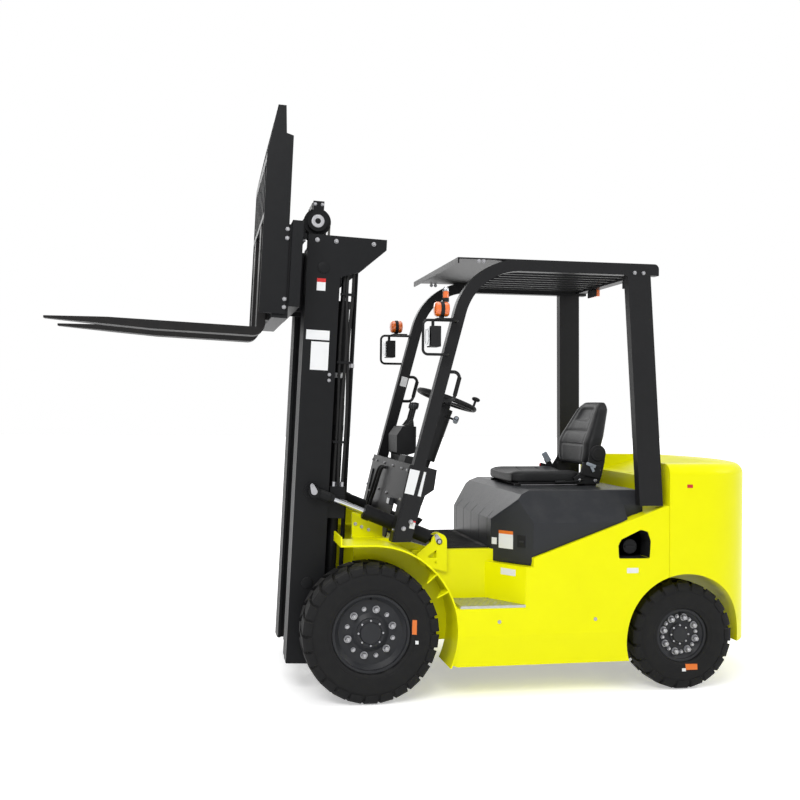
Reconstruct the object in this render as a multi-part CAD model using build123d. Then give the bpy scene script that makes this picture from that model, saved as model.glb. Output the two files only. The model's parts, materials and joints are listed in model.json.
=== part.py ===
from build123d import *
import os
from math import cos, hypot, pi, radians, sin, tan

# Counterbalanced forklift truck with a three stage mast, in millimetres.
# X runs rearward from the front axle, Y to the right of the driver, Z up.
# Everything is moved at the end so that X is zero at the middle of the length.

# Clearances
running_gap = 0.3
rod_gap = 0.5
moving_gap = 6.0

# Wheels and axles
wheelbase = 1695.0
front_radius = 352.0
front_width = 216.0
front_track = 1000.0
front_rim_radius = 200.0
front_lugs = 22
rear_radius = 286.0
rear_width = 176.0
rear_track = 970.0
rear_rim_radius = 142.0
rear_lugs = 16
tyre_bulge = 4.0
bead_share = 0.78
lug_depth = 13.0
lug_notch = 20.0
rim_wall = 14.0
front_hub = 140.0
front_bore = 46.0
front_dish = 42.0
rear_hub = 60.0
rear_bore = 26.0
rear_dish = 30.0
kingpin_y = 415.0
kingpin_radius = 30.0
kingpin_lug = 34.0
axle_tube = 70.0
pivot_rise = 107.0
pivot_radius = 30.0
hanger_x = 104.0
hanger_plate = 18.0
hanger_half = 60.0

# Frame
body_half = 612.0
wall_half = 395.0
rail_half = 370.0
rail_plate = 20.0
sill_bottom = 170.0
sill_fold_z = 330.0
sill_fold_in = 18.0
arch_radius = 450.0
arch_plate = 8.0
fender_front = -165.0
rib_plate = 6.0
rear_arch_radius = 337.0
seam_x = 1592.0
seam_gap = 2.0
frame_top_rear = 985.0
slope_front = 841.0
slope_front_z = 722.0
slope_rear = 1575.0
skirt_drop = 46.0
recess_rear = 800.0
recess_corner = 645.0
tread_z = 470.0
tread_plate = 14.0
floor_z = 742.0
floor_front = 200.0
floor_plate = 6.0
mat = 8.0
gearbox_top = 640.0
cross_plate_thick = 20.0
filler_depth = 110.0
filler_cap_radius = 38.0

# Counterweight
weight_rear = 2215.0
weight_top = 1205.0
weight_bottom = 240.0
weight_corner = 415.0
weight_crown = 50.0
weight_round = 60.0
weight_tuck = 80.0
weight_scoop = 85.0
tow_z = 520.0
tow_radius = 16.0
tow_slot_half = 60.0
tow_slot_height = 70.0
tow_slot_depth = 110.0
grille_low = 700.0
grille_high = 1040.0
grille_half = 260.0
grille_depth = 240.0
grille_slats = 7

# Mast
mast_lean = 2.5
rail_front = -400.0
rail_depth = 178.0
rail_web = 18.0
flange = 20.0
flange_width = 60.0
beam_flange = 16.0
beam_web = 14.0
beam_web_in = 20.0
mast_half = 350.0
lane_gap = 6.0
middle_width = 54.0
inner_width = 50.0
mast_foot = 140.0
mast_top = 2325.0
yoke_height = 56.0
yoke_rear = 18.0
yoke_plate = 16.0
stage_step = 14.0
tie_front = -148.0
tie_plate = 16.0
mid_tie_low = 900.0
mid_tie_high = 1020.0
lift_x = -180.0
lift_y = 250.0
lift_radius = 30.0
lift_rod = 20.0
lift_top = 2050.0
free_x = -330.0
free_radius = 45.0
free_rod = 26.0
free_top = 1540.0
head_z = 2493.0
sheave_y = 90.0
sheave_radius = 75.0
chain_radius = 62.0
chain_half = 9.0
chain_depth = 12.0
chain_anchor_z = 1100.0
anchor_bar_z = 2420.0
pipe_radius = 9.0

# Carriage, backrest and forks
fork_length = 1070.0
fork_thick = 45.0
fork_width = 125.0
fork_spread = 250.0
fork_tip = 12.0
fork_heel = 60.0
fork_face = -644.0
fork_base = 1835.0
carriage_half = 500.0
carriage_low = 1980.0
carriage_high = 2420.0
carriage_bar = 90.0
bar_front = -496.0
bar_rear = -440.0
backrest_top = 3000.0
backrest_bend_drop = 248.0
backrest_back = 44.0
backrest_bars = 6

# Tilt cylinders
tilt_y = 382.0
tilt_boss_x = -306.0
tilt_boss_z = 1041.0
tilt_pin_x = 388.0
tilt_pin_z = 788.0
tilt_bore = 38.0
tilt_rod_radius = 15.0
tilt_gland = 430.0
eye_radius = 34.0
eye_pin = 16.0
eye_half = 20.0
eye_play = 1.8
cheek_plate = 12.0
cheek_gap = 4.0
cheek_radius = 42.0

# Overhead guard
guard_half = 523.0
guard_post = 52.0
guard_lean = 14.8
guard_top = 2275.0
guard_front = 447.0
guard_rear = 1564.0
guard_bend = 305.0
guard_bend_x = 790.0
guard_nose = 26.0
post_depth = 62.0
visor_plate = 8.0
visor_lip = 30.0
bar_count = 10
bar_width = 18.0
leg_top_x = 1386.0
leg_foot_x = 1429.0
leg_depth = 130.0
leg_foot_half = 600.0

# Lamps on the front posts
lamp_x = 304.0
lamp_y = 578.0
lamp_z = 1855.0
lamp_size = (66.0, 96.0, 106.0)
lamp_round = 12.0
loop_front = 253.0
loop_low = 1765.0
loop_high = 1940.0
loop_tube = 7.0
signal_x = 349.0
signal_z = 1993.0
signal_size = (80.0, 84.0, 86.0)
marker_radius = 17.0
marker_height = 82.0

# Operator station
dash_half = 520.0
dash_top = 1200.0
dash_top_x = 204.0
dash_foot = 830.0
dash_foot_x = 119.0
dash_rear = 347.0
dash_rear_z = 1172.0
sheet = 5.0
console_front = 272.0
console_rear = 392.0
console_neck = 28.0
console_top = 1380.0
console_inner = 150.0
console_outer = 400.0
wheel_centre_x = 530.0
wheel_centre_z = 1537.0
wheel_radius = 180.0
grip_radius = 14.5
column_lean = 20.0
column_radius = 34.0
hood_front = 680.0
hood_rear = 1475.0
hood_top = 1062.0
hood_half = 590.0
hood_top_half = 482.0
hood_wall = 12.0
hood_round = 16.0
hood_ribs = 4
hinge_x = 1470.0
hinge_z = 1050.0
hinge_radius = 10.0
seat_half = 240.0
seat_plate = 12.0
cushion_front = 850.0
cushion_length = 410.0
cushion_thick = 76.0
back_foot = 110.0
back_height = 362.0
back_lean = 110.0
back_shoulder = 148.0


def slab(x0, x1, y0, y1, z0, z1):
    """Box between two opposite corners."""
    size = (abs(x1 - x0), abs(y1 - y0), abs(z1 - z0))
    middle = ((x0 + x1) / 2, (y0 + y1) / 2, (z0 + z1) / 2)
    return Pos(*middle) * Box(*size)


def side_plate(points, y0, y1):
    """Outline in X and Z, thick from y0 to y1."""
    low, high = min(y0, y1), max(y0, y1)
    plane = Plane(origin=(0, high, 0), x_dir=(1, 0, 0), z_dir=(0, -1, 0))
    return extrude(plane * Polygon(*points, align=None), high - low, dir=(0, -1, 0))


def side_outline_plate(edges, y0, y1):
    """Closed outline of lines and arcs in X and Z, thick from y0 to y1."""
    low, high = min(y0, y1), max(y0, y1)
    plane = Plane(origin=(0, high, 0), x_dir=(1, 0, 0), z_dir=(0, -1, 0))
    return extrude(plane * make_face(edges), high - low, dir=(0, -1, 0))


def cross_plate(points, x0, x1):
    """Outline in Y and Z, thick from x0 to x1."""
    plane = Plane(origin=(x0, 0, 0), x_dir=(0, 1, 0), z_dir=(1, 0, 0))
    return extrude(plane * Polygon(*points, align=None), x1 - x0, dir=(1, 0, 0))


def flat_plate(points, z0, z1):
    """Outline in X and Y, thick from z0 to z1."""
    return extrude(Pos(0, 0, z0) * Polygon(*points, align=None), z1 - z0, dir=(0, 0, 1))


def rod(start, end, radius):
    """Round bar from one point to another."""
    axis = Vector(*end) - Vector(*start)
    plane = Plane(origin=start, z_dir=axis)
    return extrude(plane * Circle(radius), axis.length)


def disc_y(x, z, radius, y0, y1):
    """Round disc whose axis runs across the truck."""
    return rod((x, min(y0, y1), z), (x, max(y0, y1), z), radius)


def ring_y(x, z, outer, inner, y0, y1):
    """Round ring whose axis runs across the truck."""
    low, high = min(y0, y1), max(y0, y1)
    return disc_y(x, z, outer, low, high) - disc_y(x, z, inner, low - 1, high + 1)


def swept(points, radius, bend):
    """Eight sided tube along points, with rounded corners."""
    line = FilletPolyline(*points, radius=bend)
    start = Plane(origin=line @ 0, z_dir=line % 0)
    return sweep(start * RegularPolygon(radius, 8), path=line)


def across(shape):
    """The same shape on the other side of the truck."""
    return mirror(shape, about=Plane.XZ)


def both(shape):
    """A shape and its mirror image."""
    return [shape, across(shape)]


def group(shapes):
    """Several separate solids in one shape."""
    solids = [solid for shape in shapes for solid in shape.solids()]
    return Compound(solids)


def joined(pieces):
    """One shape out of several that touch or overlap."""
    result = pieces[0]
    for piece in pieces[1:]:
        result = result + piece
    return result


def spun(profile, x, z):
    """Turned shape about a cross axis at x, z. The profile holds (y, radius) points."""
    plane = Plane(origin=(x, 0, z), x_dir=(0, 1, 0), z_dir=(1, 0, 0))
    face = plane * Polygon(*profile, align=None)
    axis = Axis((x, 0, z), (0, 1, 0))
    return revolve(face, axis, 360)


nodes = {}
axle_z = front_radius
lean = Pos(0, 0, axle_z) * Rot(0, mast_lean, 0) * Pos(0, 0, -axle_z)


def add_pair(name, right_shape):
    """Adds a node on the right and its mirror image on the left."""
    nodes[f"{name}_right"] = right_shape
    nodes[f"{name}_left"] = across(right_shape)


# Tyres with a lugged tread, on dished rims
def tyre(x, z, track, radius, width, rim, lugs):
    """One tyre, its shoulders notched between the lugs, staggered from side to side."""
    half = width / 2
    y = track / 2
    bead = half * bead_share
    profile = [
        (y - bead, rim),
        (y - half - tyre_bulge, rim + (radius - rim) * 0.45),
        (y - half * 0.94, radius - lug_depth * 1.4),
        (y - half * 0.72, radius),
        (y + half * 0.72, radius),
        (y + half * 0.94, radius - lug_depth * 1.4),
        (y + half + tyre_bulge, rim + (radius - rim) * 0.45),
        (y + bead, rim),
    ]
    body = spun(profile, x, z)
    reach = half * 0.62
    notch = Box(lug_notch, reach, 2 * lug_depth)
    cuts = []
    for index in range(lugs):
        for side, shift in ((1, 0.0), (-1, 0.5)):
            turn = 360 * (index + shift) / lugs
            cuts.append(
                Pos(x, y + side * (half + tyre_bulge - reach / 2 + 1), z) * Rot(0, turn, 0) * Pos(0, 0, radius) * notch
            )
    return body - group(cuts)


def rim(x, z, track, width, radius, hub, bore, dish, hub_start):
    """Steel rim: barrel with two flanges, a dished disc and a hub drum."""
    y = track / 2
    bead = width / 2 * bead_share
    face = y + bead - dish
    profile = [
        (y - bead, radius),
        (y - bead, radius - rim_wall),
        (face - rim_wall, radius - rim_wall),
        (face - rim_wall, hub),
        (hub_start, hub),
        (hub_start, bore),
        (face + rim_wall, bore),
        (face + rim_wall, hub * 0.55),
        (face, hub * 0.7),
        (face, radius - rim_wall * 2.6),
        (face + dish * 0.5, radius - rim_wall),
        (y + bead, radius - rim_wall),
        (y + bead, radius),
    ]
    return spun(profile, x, z)


front_bead_y = front_track / 2 - front_width / 2 * bead_share
front_hub_y = front_bead_y + rim_wall
rear_hub_y = kingpin_y + kingpin_lug + moving_gap
add_pair(
    "front_tyre", tyre(0, front_radius, front_track, front_radius, front_width, front_rim_radius, front_lugs)
)
add_pair(
    "rear_tyre", tyre(wheelbase, rear_radius, rear_track, rear_radius, rear_width, rear_rim_radius, rear_lugs)
)
add_pair(
    "front_rim",
    rim(0, front_radius, front_track, front_width, front_rim_radius, front_hub, front_bore, front_dish, front_hub_y),
)
add_pair(
    "rear_rim",
    rim(wheelbase, rear_radius, rear_track, rear_width, rear_rim_radius, rear_hub, rear_bore, rear_dish, rear_hub_y),
)

# Drive axle: differential housing, tubes, brake backing plates and spindles
spindle_end = front_track / 2 + front_width / 2 * bead_share - front_dish
housing_half = 150.0
housing_radius = 145.0
backing_thick = 22.0
drive_axle = disc_y(0, axle_z, axle_tube, rim_wall - front_bead_y, front_bead_y - rim_wall)
drive_axle += spun(
    [
        (-housing_half, 0),
        (-housing_half, housing_radius * 0.65),
        (-housing_half * 0.63, housing_radius),
        (housing_half * 0.63, housing_radius),
        (housing_half, housing_radius * 0.65),
        (housing_half, 0),
    ],
    0,
    axle_z,
)
drive_axle += rod((0, 0, axle_z), (housing_radius + 65, 0, axle_z), housing_radius * 0.55)
for flip in (1, -1):
    drive_axle += disc_y(0, axle_z, front_bore - running_gap, 0, flip * spindle_end)
    drive_axle += disc_y(
        0, axle_z, front_hub - 8, flip * (front_hub_y - moving_gap - backing_thick), flip * (front_hub_y - moving_gap)
    )
nodes["drive_axle"] = drive_axle

# Steer axle: two plates with kingpin lugs, a steering cylinder between them and a pivot pin
beam_z = rear_radius
beam_half = 58.0
neck = 20.0
plate_low = 46.0
plate_high = 62.0
neck_end = 118.0
beam_wide = 210.0
beam_y = kingpin_y - beam_wide
beam_plan = [
    (wheelbase - beam_half, 0),
    (wheelbase - beam_half, beam_y),
    (wheelbase - neck, kingpin_y - neck_end),
    (wheelbase - neck, kingpin_y),
    (wheelbase + neck, kingpin_y),
    (wheelbase + neck, kingpin_y - neck_end),
    (wheelbase + beam_half, beam_y),
    (wheelbase + beam_half, 0),
]
axle_plates = []
for low, high in ((plate_low, plate_high), (-plate_high, -plate_low)):
    half_plate = flat_plate(beam_plan, beam_z + low, beam_z + high)
    half_plate += Pos(wheelbase, kingpin_y, beam_z + (low + high) / 2) * Cylinder(kingpin_lug, high - low)
    axle_plates.append(half_plate + across(half_plate))
front_web = slab(
    wheelbase - beam_half + 12, wheelbase - beam_half + 28, -beam_y, beam_y, beam_z - plate_low, beam_z + plate_low
)
middle_web = slab(wheelbase - 8, wheelbase + 8, -beam_y, beam_y, beam_z - plate_low, beam_z + plate_low)
pivot_z = beam_z + pivot_rise
pivot_block = slab(wheelbase - 70, wheelbase + 70, -hanger_half, hanger_half, beam_z + plate_high, pivot_z)
pivot_end = hanger_x + hanger_plate
pivot_pin = rod((wheelbase - pivot_end, 0, pivot_z), (wheelbase + pivot_end, 0, pivot_z), pivot_radius)
steer_barrel = disc_y(wheelbase + 38, beam_z, 34, -150, 150) + disc_y(wheelbase + 38, beam_z, 14, -235, 235)
nodes["steer_axle"] = joined(axle_plates + [front_web, middle_web, pivot_block, pivot_pin, steer_barrel])

# Knuckles: kingpin barrel, spindle and steering arm
spindle_y = rear_track / 2 + rear_width / 2 * bead_share - rear_dish + rim_wall + moving_gap
knuckle = Pos(wheelbase, kingpin_y, beam_z) * Cylinder(kingpin_radius, 2 * (plate_low - running_gap))
knuckle += disc_y(wheelbase, beam_z, rear_bore - running_gap, kingpin_y, spindle_y)
knuckle += disc_y(wheelbase, beam_z, rear_bore + 12, kingpin_y, rear_hub_y - 3)
knuckle += slab(wheelbase, wheelbase + 78, kingpin_y - 14, kingpin_y + 14, beam_z - 12, beam_z + 12)
add_pair("knuckle", knuckle)

# Frame: side boxes, wheel arches, rails, floor and cross plates
side_outline = [
    (arch_radius - 4, sill_bottom),
    (seam_x - seam_gap, sill_bottom),
    (seam_x - seam_gap, frame_top_rear),
    (slope_rear, frame_top_rear),
    (slope_front, slope_front_z),
    (slope_front, slope_front_z - skirt_drop),
    (recess_corner - 5, slope_front_z - skirt_drop),
    (recess_corner - 40, slope_front_z),
    (0, slope_front_z),
    (0, axle_z),
]
side_box = side_plate(side_outline, wall_half, body_half)
fold = cross_plate(
    [
        (body_half - sill_fold_in, sill_bottom - 5),
        (body_half + 5, sill_bottom - 5),
        (body_half + 5, sill_fold_z),
        (body_half, sill_fold_z),
        (body_half - sill_fold_in, sill_bottom),
    ],
    0,
    seam_x,
)
side_box -= fold
side_box -= disc_y(0, axle_z, arch_radius, wall_half - 5, body_half + 5)
recess = flat_plate(
    [
        (0, wall_half),
        (0, body_half + 5),
        (recess_rear + 4, body_half + 5),
        (recess_rear, body_half),
        (recess_corner, wall_half),
    ],
    tread_z,
    frame_top_rear,
)
side_box -= recess
arch_top = axle_z + arch_radius
arch_band = ring_y(0, axle_z, arch_radius, arch_radius - arch_plate, wall_half - 25, body_half)
arch_band -= slab(-arch_radius - 5, 0, 0, body_half + 5, -arch_radius, arch_top + 5)
arch_band -= slab(-arch_radius - 5, arch_radius + 5, 0, body_half + 5, -arch_radius, sill_bottom)
fender_deck = slab(fender_front, 0, rail_half - 5, body_half, arch_top - arch_plate, arch_top)
fender_lip = slab(
    fender_front, fender_front + arch_plate, rail_half - 5, body_half, arch_top - arch_plate, arch_top + 42
)
inner_deck = slab(-60, 170, 262, rail_half - 5, arch_top - arch_plate, arch_top)
ribs = []
for angle in (48, 62):
    web = (arch_radius - arch_plate / 2) * Vector(cos(radians(90 - angle)), 0, sin(radians(90 - angle)))
    rib = flat_plate([(-70, 0), (0, 0), (0, -110)], -rib_plate / 2, rib_plate / 2)
    ribs.append(Pos(web.X, body_half - 4, axle_z + web.Z) * Rot(0, angle - 90, 0) * rib)
side_rail = side_plate(
    [
        (-60, axle_z - 90),
        (arch_radius, axle_z - 90),
        (arch_radius + 60, sill_bottom),
        (seam_x - seam_gap, sill_bottom),
        (seam_x - seam_gap, frame_top_rear - 60),
        (slope_rear - 60, frame_top_rear - 60),
        (hood_front, floor_z - 20),
        (arch_radius, floor_z - 20),
        (floor_front, arch_top - arch_plate),
        (-60, arch_top - arch_plate),
    ],
    rail_half - rail_plate,
    rail_half,
)
back_wall = side_plate(
    [
        (0, axle_z),
        (arch_radius, sill_bottom),
        (seam_x - seam_gap, sill_bottom),
        (seam_x - seam_gap, frame_top_rear - 60),
        (slope_rear - 60, frame_top_rear - 60),
        (hood_front + 90, floor_z),
        (floor_front + 50, floor_z),
    ],
    rail_half,
    wall_half,
)
back_wall -= disc_y(0, axle_z, arch_radius - arch_plate, rail_half - 1, wall_half + 1)
dash_stand = side_plate(
    [(-60, arch_top - 3), (-60, arch_top + 133), (10, arch_top + 113), (105, arch_top + 58), (105, arch_top - 3)],
    288,
    300,
)
right_half = joined([side_box, back_wall, side_rail, arch_band, fender_deck, fender_lip, inner_deck, dash_stand])

# Tilt cylinder brackets: two cheeks, the outer one standing on two legs
cheek_in = tilt_y - eye_half - cheek_gap
cheek_out = tilt_y + eye_half + cheek_gap
bracket_foot = arch_top - 175
outer_cheek = side_plate(
    [
        (tilt_pin_x - cheek_radius, tilt_pin_z),
        (tilt_pin_x - 122, tilt_pin_z - 66),
        (tilt_pin_x - 100, bracket_foot + 40),
        (tilt_pin_x + cheek_radius, bracket_foot),
        (tilt_pin_x + cheek_radius, tilt_pin_z),
    ],
    cheek_out,
    cheek_out + cheek_plate,
)
outer_cheek += disc_y(tilt_pin_x, tilt_pin_z, cheek_radius, cheek_out, cheek_out + cheek_plate)
outer_cheek -= side_plate(
    [
        (tilt_pin_x - 62, tilt_pin_z - 76),
        (tilt_pin_x - 14, tilt_pin_z - 44),
        (tilt_pin_x - 14, tilt_pin_z - 116),
    ],
    cheek_out - 1,
    cheek_out + cheek_plate + 1,
)
inner_cheek = side_plate(
    [
        (tilt_pin_x - 60, floor_z - 60),
        (tilt_pin_x + 62, floor_z - 60),
        (tilt_pin_x + 36, tilt_pin_z),
        (tilt_pin_x - 36, tilt_pin_z),
    ],
    cheek_in - cheek_plate,
    cheek_in,
)
inner_cheek += disc_y(tilt_pin_x, tilt_pin_z, cheek_radius, cheek_in - cheek_plate, cheek_in)
cheek_base = slab(
    tilt_pin_x - 60, tilt_pin_x + cheek_radius, wall_half - 2, cheek_out + cheek_plate, floor_z - 60, floor_z - 40
)
tilt_pin = disc_y(tilt_pin_x, tilt_pin_z, eye_pin, cheek_in - cheek_plate - 4, cheek_out + cheek_plate + 4)
eye_room = disc_y(tilt_pin_x, tilt_pin_z, 60, cheek_in, cheek_out)
right_half = joined([right_half, outer_cheek, inner_cheek, cheek_base]) - eye_room + tilt_pin
for rib in ribs:
    right_half += rib

# Floor, cross plates and the front hanger of the steer axle
floor_plates = [
    slab(floor_front, hood_front + 20, -rail_half, rail_half, floor_z - floor_plate, floor_z),
    slab(560, 560 + cross_plate_thick, -rail_half, rail_half, gearbox_top, floor_z - floor_plate),
    slab(150, 150 + cross_plate_thick, -rail_half, rail_half, 640, 800),
    slab(seam_x - 30, seam_x, -rail_half, rail_half, 640, 900),
    slab(wheelbase - 230, seam_x, -rail_half, rail_half, 640, 680),
]
frame = joined([right_half, across(right_half)] + floor_plates)
frame -= disc_y(wheelbase, rear_radius, rear_arch_radius, -body_half - 5, body_half + 5)
frame -= disc_y(0, axle_z, axle_tube, -wall_half - 100, wall_half + 100)
frame += slab(
    wheelbase - pivot_end, wheelbase - hanger_x, -hanger_half, hanger_half, pivot_z - pivot_radius - 22, 650
)
frame += slab(wheelbase - pivot_end, seam_x, -hanger_half, hanger_half, 610, 650)
frame -= rod((wheelbase - pivot_end - 20, 0, pivot_z), (wheelbase, 0, pivot_z), pivot_radius)
filler_edges = Polyline(
    (1308, 712), (1304, 780), (1320, 812), (1430, 862), (1470, 850), (1486, 800), (1481, 710), close=True
)
filler_plane = Plane(origin=(0, -body_half + filler_depth, 0), x_dir=(1, 0, 0), z_dir=(0, -1, 0))
filler = extrude(filler_plane * make_face(filler_edges), filler_depth + 5, dir=(0, -1, 0))
filler = fillet(filler.edges().filter_by(Axis.Y), 12)
frame -= filler
nodes["frame"] = frame
filler_y = -body_half + filler_depth
filler_cap = disc_y(1392, 768, filler_cap_radius * 0.7, filler_y, filler_y - 30)
filler_cap += disc_y(1392, 768, filler_cap_radius, filler_y - 30, filler_y - 60)
nodes["filler_cap"] = filler_cap

# Engine with its gearbox, one plain block under the hood
engine = slab(760, 1400, -230, 230, 430, 880)
engine += slab(330, 760, -170, 170, 300, gearbox_top)
nodes["engine"] = engine

# Counterweight: bowed rear, a tucked foot, a scoop behind the seat and the radiator opening
shoulder_x = weight_rear - weight_corner
brow_y = body_half / 2
brow_x = weight_rear - weight_crown
half_plan = [
    Line((seam_x, 0), (seam_x, body_half)),
    Line((seam_x, body_half), (shoulder_x, body_half)),
    ThreePointArc(
        (shoulder_x, body_half), (weight_rear - weight_crown * 3.2, body_half * 0.835), (brow_x, brow_y)
    ),
    ThreePointArc(
        (brow_x, brow_y), (weight_rear - weight_crown * 0.24, brow_y / 2), (weight_rear, 0)
    ),
    Line((weight_rear, 0), (seam_x, 0)),
]
weight_half = extrude(Pos(0, 0, weight_bottom) * make_face(half_plan), weight_top - weight_bottom, dir=(0, 0, 1))
weight = weight_half + across(weight_half)
top_edges = weight.faces().sort_by(Axis.Z)[-1].edges().filter_by(lambda edge: edge.center().X > seam_x + 1)
weight = fillet(top_edges, weight_round)
tuck = side_plate(
    [
        (weight_rear - weight_tuck, weight_bottom - 5),
        (weight_rear + 5, weight_bottom - 5),
        (weight_rear + 5, grille_low - 60),
        (weight_rear, grille_low - 60),
    ],
    -body_half - 5,
    body_half + 5,
)
weight -= tuck
scoop = side_plate(
    [
        (seam_x - 5, weight_top - weight_scoop),
        (seam_x + 110, weight_top - weight_scoop),
        (seam_x + 430, weight_top + 2),
        (seam_x - 5, weight_top + 2),
    ],
    -guard_half + 60,
    guard_half - 60,
)
weight -= scoop
weight -= slab(weight_rear - grille_depth, weight_rear + 5, -grille_half, grille_half, grille_low, grille_high)
weight -= disc_y(wheelbase, rear_radius, rear_arch_radius, -body_half - 5, body_half + 5)
weight -= rod((seam_x + 60, 0, weight_top - weight_scoop - 60), (seam_x + 60, 0, weight_top), 20)
weight += slab(
    wheelbase + hanger_x, wheelbase + pivot_end, -hanger_half, hanger_half, pivot_z - pivot_radius - 22, 650
)
weight -= rod((wheelbase, 0, pivot_z), (wheelbase + pivot_end + 20, 0, pivot_z), pivot_radius)
tow_x = weight_rear - 50
weight -= slab(
    weight_rear - tow_slot_depth,
    weight_rear + 5,
    -tow_slot_half,
    tow_slot_half,
    tow_z - tow_slot_height / 2,
    tow_z + tow_slot_height / 2,
)
weight -= rod((tow_x, 0, weight_bottom - 5), (tow_x, 0, tow_z), tow_radius)
nodes["counterweight"] = weight
slat_pitch = (grille_high - grille_low) / grille_slats
grille_back = weight_rear - grille_depth
grille = slab(grille_back, grille_back + 14, -grille_half, grille_half, grille_low, grille_high)
for index in range(grille_slats):
    z = grille_low + slat_pitch * (index + 0.5)
    grille += side_plate(
        [
            (grille_back + 13, z + 4),
            (grille_back + 13, z + 10),
            (grille_back + 90, z - 10),
            (grille_back + 90, z - 16),
        ],
        -grille_half,
        grille_half,
    )
nodes["radiator_grille"] = grille

# Overhead guard: each front post bends back into its roof rail
post_lean = radians(guard_lean)
post_shift = tan(post_lean)
outer_bend = guard_bend + post_depth
bend_z = guard_top - outer_bend


def bend_point(radius, angle):
    """Point on the bend, at an angle above the level line to its front."""
    return (guard_bend_x - radius * cos(angle), bend_z + radius * sin(angle))


def post_x(z, radius=outer_bend):
    """Front edge of the post at a height, or its rear edge with the inner radius."""
    x, top = bend_point(radius, post_lean)
    return x - (top - z) * post_shift


bend_middle = (post_lean + pi / 2) / 2
nose_turn = guard_nose * (1 - sin(pi / 4))
post_edges = [
    Line((post_x(arch_top), arch_top), bend_point(outer_bend, post_lean)),
    ThreePointArc(
        bend_point(outer_bend, post_lean), bend_point(outer_bend, bend_middle), bend_point(outer_bend, pi / 2)
    ),
    Line(bend_point(outer_bend, pi / 2), (guard_rear - guard_nose, guard_top)),
    ThreePointArc(
        (guard_rear - guard_nose, guard_top),
        (guard_rear - nose_turn, guard_top - nose_turn),
        (guard_rear, guard_top - guard_nose),
    ),
    Line((guard_rear, guard_top - guard_nose), (guard_rear, guard_top - post_depth)),
    Line((guard_rear, guard_top - post_depth), bend_point(guard_bend, pi / 2)),
    ThreePointArc(
        bend_point(guard_bend, pi / 2), bend_point(guard_bend, bend_middle), bend_point(guard_bend, post_lean)
    ),
    Line(bend_point(guard_bend, post_lean), (post_x(arch_top, guard_bend), arch_top)),
    Line((post_x(arch_top, guard_bend), arch_top), (post_x(arch_top), arch_top)),
]
post = side_outline_plate(post_edges, guard_half - guard_post, guard_half)
leg_foot = Pos(leg_foot_x + leg_depth / 2, leg_foot_half - guard_post / 2, frame_top_rear)
leg_head = Pos(leg_top_x + leg_depth / 2, guard_half - guard_post / 2, guard_top - post_depth)
leg = loft([leg_foot * Rectangle(leg_depth, guard_post), leg_head * Rectangle(leg_depth, guard_post)])
handle_y = guard_half - guard_post / 2
handle_low = 1530.0
handle_high = 1680.0
handle_out = 62.0
handle = swept(
    [
        (post_x(handle_low, guard_bend) - 6, handle_y, handle_low),
        (post_x(handle_low, guard_bend) + handle_out, handle_y, handle_low),
        (post_x(handle_high, guard_bend) + handle_out, handle_y, handle_high),
        (post_x(handle_high, guard_bend) - 6, handle_y, handle_high),
    ],
    9,
    30,
)
half_guard = joined([post, leg, handle])
visor = slab(guard_front, guard_bend_x, -guard_half, guard_half, guard_top - visor_plate, guard_top)
visor += slab(guard_front, guard_front + visor_plate, -guard_half, guard_half, guard_top - visor_lip, guard_top)
rear_header = slab(guard_rear - 70, guard_rear - 10, -guard_half + 4, guard_half - 4, guard_top - 50, guard_top - 6)
guard = joined([half_guard, across(half_guard), visor, rear_header])
nodes["overhead_guard"] = guard
bar_span = 2 * (guard_half - guard_post)
bars = []
for index in range(bar_count):
    y = bar_span * ((index + 0.5) / bar_count - 0.5)
    bars.append(
        slab(guard_bend_x, guard_rear - 70, y - bar_width / 2, y + bar_width / 2, guard_top - 40, guard_top - 4)
    )
nodes["guard_bars"] = group(bars)

# Lamps on the front posts, each inside a tube loop, and lamps under the rear of the roof
lamp = Pos(lamp_x, lamp_y, lamp_z) * Box(*lamp_size)
lamp = fillet(lamp.edges().filter_by(Axis.X), lamp_round)
signal = Pos(signal_x, lamp_y, signal_z) * Box(*signal_size)
signal = fillet(signal.edges().filter_by(Axis.Z), lamp_round)
loop = swept(
    [
        (post_x(loop_high) + 20, guard_half, loop_high),
        (post_x(loop_high) + 20, lamp_y, loop_high),
        (loop_front, lamp_y, loop_high),
        (loop_front, lamp_y, loop_low),
        (post_x(loop_low) + 20, lamp_y, loop_low),
        (post_x(loop_low) + 20, guard_half, loop_low),
    ],
    loop_tube,
    26,
)
lamp_stalk = rod((lamp_x, lamp_y, lamp_z + lamp_size[2] / 2), (lamp_x, lamp_y, loop_high), 8)
signal_foot = signal_z - signal_size[2] / 2
signal_plate = slab(signal_x - 30, signal_x + 60, guard_half, lamp_y + 30, signal_foot - 8, signal_foot)
bracket = joined([loop, lamp_stalk, signal_plate]) - guard
nodes["work_lamps"] = group(both(lamp))
nodes["turn_signals"] = group(both(signal))
nodes["lamp_brackets"] = group(both(bracket))
marker_y = -lamp_y + 10
marker_foot = signal_z + signal_size[2] / 2
nodes["marker_lamp"] = rod(
    (signal_x + 24, marker_y, marker_foot), (signal_x + 24, marker_y, marker_foot + marker_height), marker_radius
)
rear_lamp = slab(guard_rear - 60, guard_rear - 24, 190, 310, guard_top - 96, guard_top - 50)
nodes["rear_lamps"] = group(both(rear_lamp))

# Step plates
step = flat_plate(
    [(arch_radius + 4, wall_half), (arch_radius + 4, body_half), (recess_rear, body_half), (recess_corner, wall_half)],
    tread_z,
    tread_z + tread_plate,
)
step -= disc_y(0, axle_z, arch_radius, 0, body_half + 5)
nodes["step_plates"] = group(both(step))

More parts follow.
